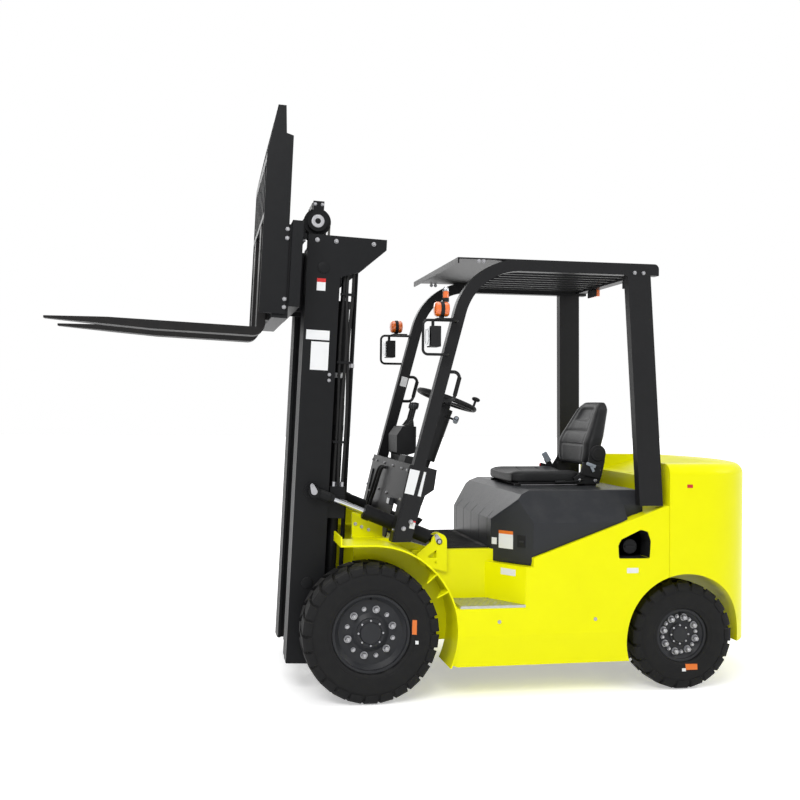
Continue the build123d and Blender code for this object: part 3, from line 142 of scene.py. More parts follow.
def new_group(
    name: str, inputs: list[tuple[str, float]], outputs: list[tuple[str, str]]
) -> tuple[bpy.types.NodeTree, bpy.types.Node, bpy.types.Node]:
    """Makes a shader node group with its sockets.

    Args:
        name: Name of the group.
        inputs: Names and default values of its number inputs.
        outputs: Names and socket types of its outputs.

    Returns:
        The group's tree, its input node and its output node.
    """
    tree = bpy.data.node_groups.new(name, "ShaderNodeTree")
    for label, value in inputs:
        socket = tree.interface.new_socket(label, in_out="INPUT", socket_type="NodeSocketFloat")
        socket.default_value = value
    for label, kind in outputs:
        tree.interface.new_socket(label, in_out="OUTPUT", socket_type=kind)
    return tree, tree.nodes.new("NodeGroupInput"), tree.nodes.new("NodeGroupOutput")


def surface_group() -> bpy.types.NodeTree:
    """Fine grain and slow unevenness of a surface.

    Returns:
        A group with a Normal, a Grain mask and a Cloud mask.
    """
    tree, entry, leave = new_group(
        "surface_relief",
        [("Grain Scale", 400.0), ("Grain Height", 0.1), ("Wave Scale", 6.0), ("Wave Height", 0.05)],
        [("Normal", "NodeSocketVector"), ("Grain", "NodeSocketFloat"), ("Cloud", "NodeSocketFloat")],
    )
    place = tree.nodes.new("ShaderNodeTexCoord")
    grain = tree.nodes.new("ShaderNodeTexNoise")
    grain.inputs["Detail"].default_value = 3.0
    wave = tree.nodes.new("ShaderNodeTexNoise")
    wave.inputs["Detail"].default_value = 2.0
    low = tree.nodes.new("ShaderNodeBump")
    low.inputs["Distance"].default_value = 0.004
    high = tree.nodes.new("ShaderNodeBump")
    high.inputs["Distance"].default_value = 0.0008
    link = tree.links.new
    link(place.outputs["Object"], grain.inputs["Vector"])
    link(place.outputs["Object"], wave.inputs["Vector"])
    link(entry.outputs["Grain Scale"], grain.inputs["Scale"])
    link(entry.outputs["Wave Scale"], wave.inputs["Scale"])
    link(entry.outputs["Wave Height"], low.inputs["Strength"])
    link(entry.outputs["Grain Height"], high.inputs["Strength"])
    link(wave.outputs["Fac"], low.inputs["Height"])
    link(grain.outputs["Fac"], high.inputs["Height"])
    link(low.outputs["Normal"], high.inputs["Normal"])
    link(high.outputs["Normal"], leave.inputs["Normal"])
    link(grain.outputs["Fac"], leave.inputs["Grain"])
    link(wave.outputs["Fac"], leave.inputs["Cloud"])
    return tree


def dust_group() -> bpy.types.NodeTree:
    """Dust that lies in patches on what faces up.

    Returns:
        A group with a Dust mask from none to full.
    """
    tree, entry, leave = new_group(
        "dust_mask",
        [("Amount", 0.3), ("Scale", 14.0)],
        [("Dust", "NodeSocketFloat")],
    )
    shape = tree.nodes.new("ShaderNodeNewGeometry")
    split = tree.nodes.new("ShaderNodeSeparateXYZ")
    facing = tree.nodes.new("ShaderNodeMapRange")
    facing.inputs["From Min"].default_value = 0.2
    facing.inputs["From Max"].default_value = 1.0
    noise = tree.nodes.new("ShaderNodeTexNoise")
    noise.inputs["Detail"].default_value = 6.0
    place = tree.nodes.new("ShaderNodeTexCoord")
    patch = tree.nodes.new("ShaderNodeMapRange")
    patch.inputs["From Min"].default_value = 0.42
    patch.inputs["From Max"].default_value = 0.72
    both = tree.nodes.new("ShaderNodeMath")
    both.operation = "MULTIPLY"
    scaled = tree.nodes.new("ShaderNodeMath")
    scaled.operation = "MULTIPLY"
    link = tree.links.new
    link(shape.outputs["Normal"], split.inputs["Vector"])
    link(split.outputs["Z"], facing.inputs["Value"])
    link(place.outputs["Object"], noise.inputs["Vector"])
    link(entry.outputs["Scale"], noise.inputs["Scale"])
    link(noise.outputs["Fac"], patch.inputs["Value"])
    link(facing.outputs["Result"], both.inputs[0])
    link(patch.outputs["Result"], both.inputs[1])
    link(both.outputs["Value"], scaled.inputs[0])
    link(entry.outputs["Amount"], scaled.inputs[1])
    link(scaled.outputs["Value"], leave.inputs["Dust"])
    return tree


@dataclass(frozen=True)
class Finish:
    """One finish of the truck.

    Args:
        name: Name of the material.
        slot: The record's material slot; not used.
        color: Base colour, linear.
        second: Colour in the clouded patches, linear.
        roughness: Lowest and highest roughness.
        metallic: Share of metal.
        coat: Weight of the clear coat.
        coat_roughness: Roughness of the clear coat.
        specular: Specular level.
        grain: Scale and height of the fine grain.
        wave: Scale and height of the slow unevenness.
        dust: Amount of dust on what faces up.
        glow: Strength of the light given off.
        transmission: Share of light let through.
    """

    name: str
    slot: str
    color: tuple[float, float, float]
    second: tuple[float, float, float]
    roughness: tuple[float, float] = (0.4, 0.5)
    metallic: float = 0.0
    coat: float = 0.0
    coat_roughness: float = 0.1
    specular: float = 0.5
    grain: tuple[float, float] = (420.0, 0.12)
    wave: tuple[float, float] = (5.0, 0.03)
    dust: float = 0.0
    glow: float = 0.0
    transmission: float = 0.0

    def build(self, library: "Library") -> bpy.types.Material:
        """Makes the material.

        Args:
            library: Holds the shared node groups.

        Returns:
            The new material.
        """
        material = bpy.data.materials.new(self.name)
        material.use_nodes = True
        tree = material.node_tree
        tree.nodes.clear()
        link = tree.links.new
        out = tree.nodes.new("ShaderNodeOutputMaterial")
        shader = tree.nodes.new("ShaderNodeBsdfPrincipled")
        relief = tree.nodes.new("ShaderNodeGroup")
        relief.node_tree = library.surface
        relief.inputs["Grain Scale"].default_value = self.grain[0]
        relief.inputs["Grain Height"].default_value = self.grain[1]
        relief.inputs["Wave Scale"].default_value = self.wave[0]
        relief.inputs["Wave Height"].default_value = self.wave[1]
        tone = tree.nodes.new("ShaderNodeMix")
        tone.data_type = "RGBA"
        tone.inputs["A"].default_value = (*self.color, 1.0)
        tone.inputs["B"].default_value = (*self.second, 1.0)
        rough = tree.nodes.new("ShaderNodeMapRange")
        rough.inputs["From Min"].default_value = 0.3
        rough.inputs["From Max"].default_value = 0.7
        rough.inputs["To Min"].default_value = self.roughness[0]
        rough.inputs["To Max"].default_value = self.roughness[1]
        link(relief.outputs["Cloud"], tone.inputs["Factor"])
        link(relief.outputs["Grain"], rough.inputs["Value"])
        link(rough.outputs["Result"], shader.inputs["Roughness"])
        link(relief.outputs["Normal"], shader.inputs["Normal"])
        color = tone.outputs["Result"]
        if self.dust > 0.0:
            dust = tree.nodes.new("ShaderNodeGroup")
            dust.node_tree = library.dust
            dust.inputs["Amount"].default_value = self.dust
            cover = tree.nodes.new("ShaderNodeMix")
            cover.data_type = "RGBA"
            cover.inputs["B"].default_value = (0.30, 0.29, 0.27, 1.0)
            link(dust.outputs["Dust"], cover.inputs["Factor"])
            link(color, cover.inputs["A"])
            color = cover.outputs["Result"]
        link(color, shader.inputs["Base Color"])
        shader.inputs["Metallic"].default_value = self.metallic
        shader.inputs["Coat Weight"].default_value = self.coat
        shader.inputs["Coat Roughness"].default_value = self.coat_roughness
        shader.inputs["Specular IOR Level"].default_value = self.specular
        shader.inputs["Transmission Weight"].default_value = self.transmission
        if self.glow > 0.0:
            shader.inputs["Emission Color"].default_value = (*self.color, 1.0)
            shader.inputs["Emission Strength"].default_value = self.glow
        link(shader.outputs["BSDF"], out.inputs["Surface"])
        return material


YELLOW = Finish(
    "lemon_paint", "body_yellow", (0.87, 0.86, 0.002), (0.83, 0.82, 0.0015), (0.30, 0.40),
    coat=0.06, coat_roughness=0.08, grain=(260.0, 0.05), wave=(9.0, 0.05), dust=0.04, specular=0.1,
)
BLACK_PAINT = Finish(
    "satin_black_paint", "frame_black", (0.0075, 0.0078, 0.0085), (0.011, 0.011, 0.012), (0.34, 0.46),
    coat=0.04, coat_roughness=0.25, grain=(700.0, 0.22), wave=(12.0, 0.06), dust=0.05, specular=0.16,
)
MAST_PAINT = Finish(
    "mast_black_paint", "frame_black", (0.0090, 0.0094, 0.0104), (0.0115, 0.0118, 0.0126), (0.36, 0.50),
    grain=(520.0, 0.25), wave=(14.0, 0.08), dust=0.05, specular=0.1,
)
FORK_STEEL = Finish(
    "forged_black_steel", "frame_black", (0.012, 0.012, 0.013), (0.022, 0.021, 0.020), (0.38, 0.55),
    grain=(180.0, 0.35), wave=(20.0, 0.15), dust=0.08, specular=0.08,
)
RIM_GREY = Finish(
    "rim_grey_paint", "rim_grey", (0.020, 0.021, 0.024), (0.027, 0.028, 0.031), (0.38, 0.48),
    coat=0.03, grain=(500.0, 0.15), wave=(10.0, 0.05), dust=0.10, specular=0.18,
)
ZINC = Finish(
    "zinc_plate", "bare_steel", (0.40, 0.40, 0.41), (0.30, 0.30, 0.32), (0.24, 0.42), metallic=1.0,
    grain=(900.0, 0.15), wave=(40.0, 0.05),
)
GALVANISED = Finish(
    "galvanised_plate", "bare_steel", (0.50, 0.51, 0.51), (0.36, 0.37, 0.37), (0.30, 0.5), metallic=0.85,
    grain=(600.0, 0.2), wave=(60.0, 0.1), dust=0.15,
)
CHROME = Finish(
    "hard_chrome", "chrome_rod", (0.50, 0.51, 0.53), (0.44, 0.45, 0.47), (0.08, 0.16), metallic=1.0,
    grain=(1200.0, 0.04), wave=(30.0, 0.01),
)
CHAIN_STEEL = Finish(
    "oiled_chain_steel", "chain_steel", (0.10, 0.098, 0.09), (0.05, 0.048, 0.045), (0.28, 0.5), metallic=0.9,
    grain=(900.0, 0.2), wave=(80.0, 0.1),
)
TYRE = Finish(
    "tyre_rubber", "tyre_rubber", (0.0095, 0.0096, 0.0102), (0.015, 0.015, 0.0152), (0.55, 0.72),
    grain=(900.0, 0.35), wave=(24.0, 0.10), dust=0.12, specular=0.12,
)
HOOD_PLASTIC = Finish(
    "hood_gloss_plastic", "hood_plastic", (0.026, 0.0275, 0.031), (0.031, 0.0325, 0.036), (0.26, 0.36),
    coat=0.03, coat_roughness=0.12, grain=(1300.0, 0.16), wave=(7.0, 0.05), dust=0.06, specular=0.12,
)
GREY_PLASTIC = Finish(
    "pale_grey_plastic", "black_plastic", (
        0.30, 0.34, 0.39
    ), (0.26, 0.29, 0.33), (0.36, 0.46), grain=(700.0, 0.2),
)
MATTE_PLASTIC = Finish(
    "matte_black_plastic", "black_plastic", (0.012, 0.0122, 0.0128), (0.016, 0.016, 0.017), (0.42, 0.58),
    grain=(1100.0, 0.35), wave=(16.0, 0.05), dust=0.05, specular=0.14,
)
RUBBER = Finish(
    "ribbed_rubber", "floor_rubber", (0.010, 0.010, 0.0105), (0.015, 0.015, 0.015), (0.55, 0.75),
    grain=(800.0, 0.3), wave=(18.0, 0.1), dust=0.2, specular=0.12,
)
VINYL = Finish(
    "seat_vinyl", "seat_vinyl", (0.0105, 0.0108, 0.0115), (0.014, 0.0142, 0.015), (0.36, 0.52),
    grain=(650.0, 0.55), wave=(18.0, 0.12), specular=0.18,
)
CAST = Finish(
    "cast_black_paint", "cast_black", (0.012, 0.012, 0.0125), (0.018, 0.018, 0.018), (0.45, 0.65),
    grain=(160.0, 0.6), wave=(30.0, 0.2), dust=0.15, specular=0.14,
)
AMBER = Finish(
    "amber_lens", "lamp_lens", (0.80, 0.16, 0.01), (0.70, 0.12, 0.008), (0.10, 0.2), coat=0.8,
    grain=(300.0, 0.3), glow=0.05,
)
RED_LENS = Finish(
    "red_lens", "lamp_lens", (0.55, 0.01, 0.008), (0.45, 0.008, 0.006), (0.10, 0.2), coat=0.8,
    grain=(300.0, 0.3), glow=0.04,
)
CLEAR = Finish(
    "lamp_glass", "lamp_lens", (0.86, 0.88, 0.90), (0.80, 0.82, 0.84), (0.03, 0.08), metallic=0.75, coat=1.0,
    coat_roughness=0.03, grain=(200.0, 0.25),
)
WHITE_FILM = Finish(
    "white_film", "black_plastic", (0.78, 0.79, 0.80), (0.72, 0.73, 0.74), (0.30, 0.42), grain=(500.0, 0.1),
)
ORANGE_FILM = Finish(
    "orange_film", "black_plastic", (0.75, 0.18, 0.02), (0.68, 0.15, 0.015), (0.32, 0.45), grain=(500.0, 0.1),
)
RED_PAINT = Finish(
    "red_paint", "black_plastic", (0.55, 0.012, 0.012), (0.45, 0.01, 0.01), (0.3, 0.42), grain=(500.0, 0.1),
)
HOSE = Finish(
    "hose_rubber", "black_plastic", (0.008, 0.008, 0.0085), (0.012, 0.012, 0.012), (0.42, 0.58),
    grain=(1500.0, 0.45), wave=(30.0, 0.1), specular=0.2,
)


@dataclass
class Library:
    """Shared node groups and the materials made so far."""

    surface: bpy.types.NodeTree = field(default_factory=surface_group)
    dust: bpy.types.NodeTree = field(default_factory=dust_group)
    made: dict[str, bpy.types.Material] = field(default_factory=dict)

    def get(self, finish: Finish) -> bpy.types.Material:
        """Returns a finish's material, made on first use.

        Args:
            finish: The finish.

        Returns:
            The material.
        """
        if finish.name not in self.made:
            self.made[finish.name] = finish.build(self)
        return self.made[finish.name]




@dataclass
class Shape:
    """Collects faces of one piece, then turns them into an object.

    Args:
        name: Name of the piece.
        body: Body that the piece rides on.
        finish: Finish of the piece.
        frame: Drawing frame of its points.
    """

    name: str
    body: str
    finish: Finish
    frame: Frame = Frame.TRUCK
    mesh: bmesh.types.BMesh = field(default_factory=bmesh.new)
    extra: list[Finish] = field(default_factory=list)
    current: int = 0

    def use(self, finish: Finish) -> None:
        """Gives what is drawn next another finish.

        Args:
            finish: The finish.
        """
        if finish is self.finish:
            self.current = 0
            return
        if finish not in self.extra:
            self.extra.append(finish)
        self.current = self.extra.index(finish) + 1

    def face(self, verts: list[bmesh.types.BMVert]) -> None:
        """Adds one face with the current finish.

        Args:
            verts: Its vertices in order.
        """
        try:
            made = self.mesh.faces.new(verts)
        except ValueError:
            return
        made.material_index = self.current

    def box(self, center: Point, size: Point, turn: Matrix | None = None, taper: float = 1.0) -> None:
        """Adds a box.

        Args:
            center: Its middle.
            size: Its full lengths along X, Y and Z.
            turn: Rotation about its middle.
            taper: Scale of the top against the foot.
        """
        middle = Vector(center)
        corners = []
        for z, scale in ((-0.5, 1.0), (0.5, taper)):
            for x, y in ((-0.5, -0.5), (0.5, -0.5), (0.5, 0.5), (-0.5, 0.5)):
                point = Vector((x * size[0] * scale, y * size[1] * scale, z * size[2]))
                if turn is not None:
                    point = turn @ point
                corners.append(self.mesh.verts.new(middle + point))
        self.face(corners[3::-1])
        self.face(corners[4:])
        for index in range(4):
            after = (index + 1) % 4
            self.face((corners[index], corners[after], corners[after + 4], corners[index + 4]))

    def lathe(
        self,
        origin: Point,
        axis: Point,
        profile: Outline,
        steps: int = 32,
        closed: bool = False,
        start: float = 0.0,
    ) -> None:
        """Adds a turned shape.

        Args:
            origin: Point on its axis.
            axis: Direction of its axis.
            profile: Points of distance along the axis and radius.
            steps: Segments round the axis.
            closed: Joins the last point of the profile to the first.
            start: Angle of the first segment.
        """
        rings = []
        spin = Vector(axis).normalized().to_track_quat("Z", "Y").to_matrix()
        base = Vector(origin)
        for along, radius in profile:
            if radius < 1e-6:
                rings.append([self.mesh.verts.new(base + spin @ Vector((0, 0, along)))])
                continue
            ring = []
            for step in range(steps):
                angle = start + math.tau * step / steps
                point = Vector((radius * math.cos(angle), radius * math.sin(angle), along))
                ring.append(self.mesh.verts.new(base + spin @ point))
            rings.append(ring)
        pairs = list(zip(rings, rings[1:]))
        if closed:
            pairs.append((rings[-1], rings[0]))
        for one, two in pairs:
            for step in range(steps):
                after = (step + 1) % steps
                if len(one) == 1 and len(two) == 1:
                    continue
                if len(one) == 1:
                    self.face((one[0], two[after], two[step]))
                elif len(two) == 1:
                    self.face((one[step], one[after], two[0]))
                else:
                    self.face((one[step], one[after], two[after], two[step]))

    def rod(self, start: Point, end: Point, radius: float, steps: int = 20, chamfer: float = 0.0) -> None:
        """Adds a round bar with closed ends.

        Args:
            start: Middle of one end.
            end: Middle of the other end.
            radius: Its radius.
            steps: Segments round it.
            chamfer: Size of the broken edge at both ends.
        """
        path = Vector(end) - Vector(start)
        length = path.length
        edge = min(chamfer, radius * 0.6, length * 0.4)
        profile = [
            (0.0, 0.0), (0.0, radius - edge), (edge, radius), (length - edge, radius), (length, radius - edge)
        ]
        profile.append((length, 0.0))
        if edge == 0.0:
            profile = [(0.0, 0.0), (0.0, radius), (length, radius), (length, 0.0)]
        self.lathe(start, path, profile, steps)

    def tube(self, points: Points, radius: float, steps: int = 12, smooth: int = 6) -> None:
        """Adds a round tube along a smooth line through points.

        Args:
            points: Points that the line passes.
            radius: Its radius.
            steps: Segments round it.
            smooth: Runs between two points.
        """
        line = spline(points, smooth)
        rings = []
        side = None
        for index, point in enumerate(line):
            ahead = line[min(index + 1, len(line) - 1)] - line[max(index - 1, 0)]
            ahead.normalize()
            if side is None:
                side = ahead.orthogonal().normalized()
            side = (side - ahead * side.dot(ahead)).normalized()
            other = ahead.cross(side)
            ring = []
            for step in range(steps):
                angle = math.tau * step / steps
                offset = side * math.cos(angle) + other * math.sin(angle)
                ring.append(self.mesh.verts.new(point + offset * radius))
            rings.append(ring)
        for one, two in zip(rings, rings[1:]):
            for step in range(steps):
                after = (step + 1) % steps
                self.face((one[step], one[after], two[after], two[step]))
        self.face(rings[0][::-1])
        self.face(rings[-1])

    def prism(self, outline: Outline, low: float, high: float, across: str = "Y") -> None:
        """Adds a flat outline with a thickness.

        Args:
            outline: Points in the two other directions, X before Y before Z.
            low: Start of the thickness.
            high: End of the thickness.
            across: Direction of the thickness.
        """
        def place(a: float, b: float, c: float) -> Vector:
            """Point from two lengths in the outline and one across it.

            Args:
                a: First length in the outline.
                b: Second length in the outline.
                c: Length across it.

            Returns:
                The point.
            """
            if across == "X":
                return Vector((c, a, b))
            if across == "Y":
                return Vector((a, c, b))
            return Vector((a, b, c))

        lower = [self.mesh.verts.new(place(a, b, low)) for a, b in outline]
        upper = [self.mesh.verts.new(place(a, b, high)) for a, b in outline]
        self.face(lower[::-1])
        self.face(upper)
        count = len(outline)
        for index in range(count):
            after = (index + 1) % count
            self.face((lower[index], lower[after], upper[after], upper[index]))

    def bolt(
        self, point: Point, normal: Point, across_flats: float, height: float, washer: bool = True
    ) -> None:
        """Adds a hexagon bolt head with its washer.

        Args:
            point: Where it sits.
            normal: Way it faces.
            across_flats: Width of the hexagon.
            height: Height of the hexagon.
            washer: Puts a washer under it.
        """
        base = Vector(point)
        way = Vector(normal).normalized()
        if washer:
            thick = height * 0.22
            self.lathe(
                base, way, [(0, 0), (0, across_flats * 0.72), (thick, across_flats * 0.70), (thick, 0)], 18
            )
            base = base + way * thick
        radius = across_flats / math.sqrt(3)
        top = [(0, 0), (0, radius), (height * 0.82, radius), (height, radius * 0.82), (height, 0)]
        self.lathe(base, way, top, 6)

    def object(
        self,
        library: Library,
        bevel: float = 0.0,
        angle: float = 35.0,
        segments: int = 2,
        subdivide: int = 0,
        replaces: tuple[str, ...] = (),
    ) -> bpy.types.Object:
        """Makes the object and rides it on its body.

        Args:
            library: Holds the materials.
            bevel: Width of the rounded edges.
            angle: Smallest angle of a sharp edge, in degrees.
            segments: Runs across a rounded edge.
            subdivide: Levels of subdivision.
            replaces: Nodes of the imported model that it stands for.

        Returns:
            The new object.
        """
        bmesh.ops.recalc_face_normals(self.mesh, faces=self.mesh.faces)
        data = bpy.data.meshes.new(self.name)
        self.mesh.to_mesh(data)
        self.mesh.free()
        data.transform(drawing_matrix(self.frame))
        made = bpy.data.objects.new(self.name, data)
        bpy.context.scene.collection.objects.link(made)
        for finish in (self.finish, *self.extra):
            data.materials.append(library.get(finish))
        if subdivide:
            rounded = made.modifiers.new("rounded", "SUBSURF")
            rounded.levels = subdivide
            rounded.render_levels = subdivide
        soften(made, bevel, angle, segments)
        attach(made, self.body)
        if replaces:
            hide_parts(*replaces)
        return made


def rectangle(
    place: Callable[[float, float], Point], left: float, right: float, top: float, low: float
) -> Points:
    """Corners of a label on a wall.

    Args:
        place: Gives the point of the wall at a length and a height.
        left: Length at which it starts.
        right: Length at which it ends.
        top: Height of its top.
        low: Height of its foot.

    Returns:
        The four corners in order.
    """
    return (place(left, top), place(right, top), place(right, low), place(left, low))


def spline(points: Points, smooth: int) -> list[Vector]:
    """Smooth line through points.

    Args:
        points: Points that the line passes.
        smooth: Runs between two points.

    Returns:
        Points along the line.
    """
    knots = [Vector(point) for point in points]
    if len(knots) < 3 or smooth < 2:
        return knots
    line = []
    for index in range(len(knots) - 1):
        before = knots[max(index - 1, 0)]
        one = knots[index]
        two = knots[index + 1]
        after = knots[min(index + 2, len(knots) - 1)]
        for step in range(smooth):
            t = step / smooth
            line.append(
                0.5
                * (
                    2 * one
                    + (two - before) * t
                    + (2 * before - 5 * one + 4 * two - after) * t * t
                    + (3 * one - before - 3 * two + after) * t * t * t
                )
            )
    line.append(knots[-1])
    return line


def soften(made: bpy.types.Object, bevel: float, angle: float, segments: int = 2) -> None:
    """Rounds sharp edges and shades the faces between them smoothly.

    Args:
        made: The object.
        bevel: Width of the rounded edges.
        angle: Smallest angle of a sharp edge, in degrees.
        segments: Runs across a rounded edge.
    """
    for polygon in made.data.polygons:
        polygon.use_smooth = True
    if bevel > 0.0:
        edge = made.modifiers.new("edges", "BEVEL")
        edge.width = bevel
        edge.segments = segments
        edge.limit_method = "ANGLE"
        edge.angle_limit = math.radians(angle)
        edge.harden_normals = False
        edge.use_clamp_overlap = True
    normals = made.modifiers.new("normals", "WEIGHTED_NORMAL")
    normals.keep_sharp = True
    if bevel == 0.0:
        made.data.set_sharp_from_angle(angle=math.radians(angle))


def dress_node(
    node: bpy.types.Object, material: bpy.types.Material, bevel: float, angle: float = 32.0
) -> None:
    """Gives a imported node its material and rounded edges.

    Args:
        node: The node's object.
        material: Its material.
        bevel: Width of the rounded edges.
        angle: Smallest angle of a sharp edge, in degrees.
    """
    node.data.materials.clear()
    node.data.materials.append(material)
    weld = node.modifiers.new("weld", "WELD")
    weld.merge_threshold = 0.00002
    edge = node.modifiers.new("edges", "BEVEL")
    edge.width = bevel
    edge.segments = 2
    edge.limit_method = "ANGLE"
    edge.angle_limit = math.radians(angle)
    edge.use_clamp_overlap = True
    normals = node.modifiers.new("normals", "WEIGHTED_NORMAL")
    normals.keep_sharp = True




@dataclass
class Part:
    """A sub-assembly of the truck.

    Args:
        nodes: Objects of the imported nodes, by name.
        library: Holds the materials.
    """

    nodes: dict[str, bpy.types.Object]
    library: Library

    def build(self) -> list[str]:
        """Makes the pieces.

        Returns:
            Names of the pieces made or dressed.
        """
        raise NotImplementedError


@dataclass
class PackedNodes(Part):
    """Finishes and rounded edges of the nodes that stay as packed."""

    def build(self) -> list[str]:
        """Dresses the nodes.

        Returns:
            Names of the nodes.
        """
        done = []
        for finish, bevel, names in NODE_FINISHES:
            for name in names:
                if name not in self.nodes:
                    continue
                dress_node(self.nodes[name], self.library.get(finish), bevel)
                done.append(name)
        return done


def sided(*names: str) -> tuple[str, ...]:
    """Names of nodes on both sides.

    Args:
        names: Names without their side.

    Returns:
        Each name with both sides.
    """
    return tuple(f"{name}_{side.label}" for name in names for side in Side)


NODE_FINISHES = (
    (YELLOW, 0.0025, ("frame", "counterweight")),
    (BLACK_PAINT, 0.002, ("overhead_guard", "guard_bars", "dash_panel", "radiator_grille")),
    (BLACK_PAINT, 0.0008, ("lamp_brackets",)),
    (
        MAST_PAINT,
        0.0015,
        ("outer_mast", "middle_mast", "inner_mast", "carriage", "lift_cylinders", "crosshead"),
    ),
    (MAST_PAINT, 0.0015, ("fork_carriage", "load_backrest", "free_lift_cylinder", "mast_pipes")),
    (FORK_STEEL, 0.002, sided("fork")),
    (MAST_PAINT, 0.001, sided("tilt_barrel")),
    (CHROME, 0.001, (*sided("tilt_rod"), "lift_rods")),
    (CHAIN_STEEL, 0.0008, ("free_lift_chains",)),
    (CAST, 0.003, (*sided("knuckle"), "drive_axle", "steer_axle", "engine")),
    (RIM_GREY, 0.0015, sided("front_rim", "rear_rim")),
    (HOOD_PLASTIC, 0.004, ("hood",)),
    (RUBBER, 0.001, ("floor_mat",)),
    (MATTE_PLASTIC, 0.003, ("lever_console", "steering_column", "seat_frame")),
    (MATTE_PLASTIC, 0.002, ("filler_cap", "pedals")),
    (GALVANISED, 0.001, ("step_plates",)),
)


@dataclass(frozen=True)
class WheelSize:
    """Sizes of one tyre and the face of its rim.

    Args:
        name: Start of the names of its node and body.
        x: Place of the axle along the truck.
        height: Height of the axle, which is the tyre's radius.
        track: Distance between the middles of the two tyres.
        half: Half of the tyre's width at its beads.
        rim: Radius of the rim.
        lugs: Lugs on each side.
        lug_run: Share of the pitch that a lug takes.
        face: Distance of the rim's disc from the tyre's middle.
        bolts: Angles of the bolts' pitch and the radius of their circle.
        cap: Radius of the hub cap.
        boss: Height of the rim's boss above its disc.
    """

    name: str
    x: float
    height: float
    track: float
    half: float
    rim: float
    lugs: int
    lug_run: float
    face: float
    bolts: tuple[int, float]
    cap: float
    boss: float


FRONT_WHEEL = WheelSize(
    "front", 0.0, FRONT_RADIUS, 1.000, 0.108, 0.200, 26, 0.80, 0.0422, (6, 0.1190), 0.072, 0.014,
)
REAR_WHEEL = WheelSize(
    "rear", WHEELBASE, REAR_RADIUS, 0.970, 0.088, 0.142, 20, 0.78, 0.0386, (8, 0.0940), 0.056, 0.0,
)


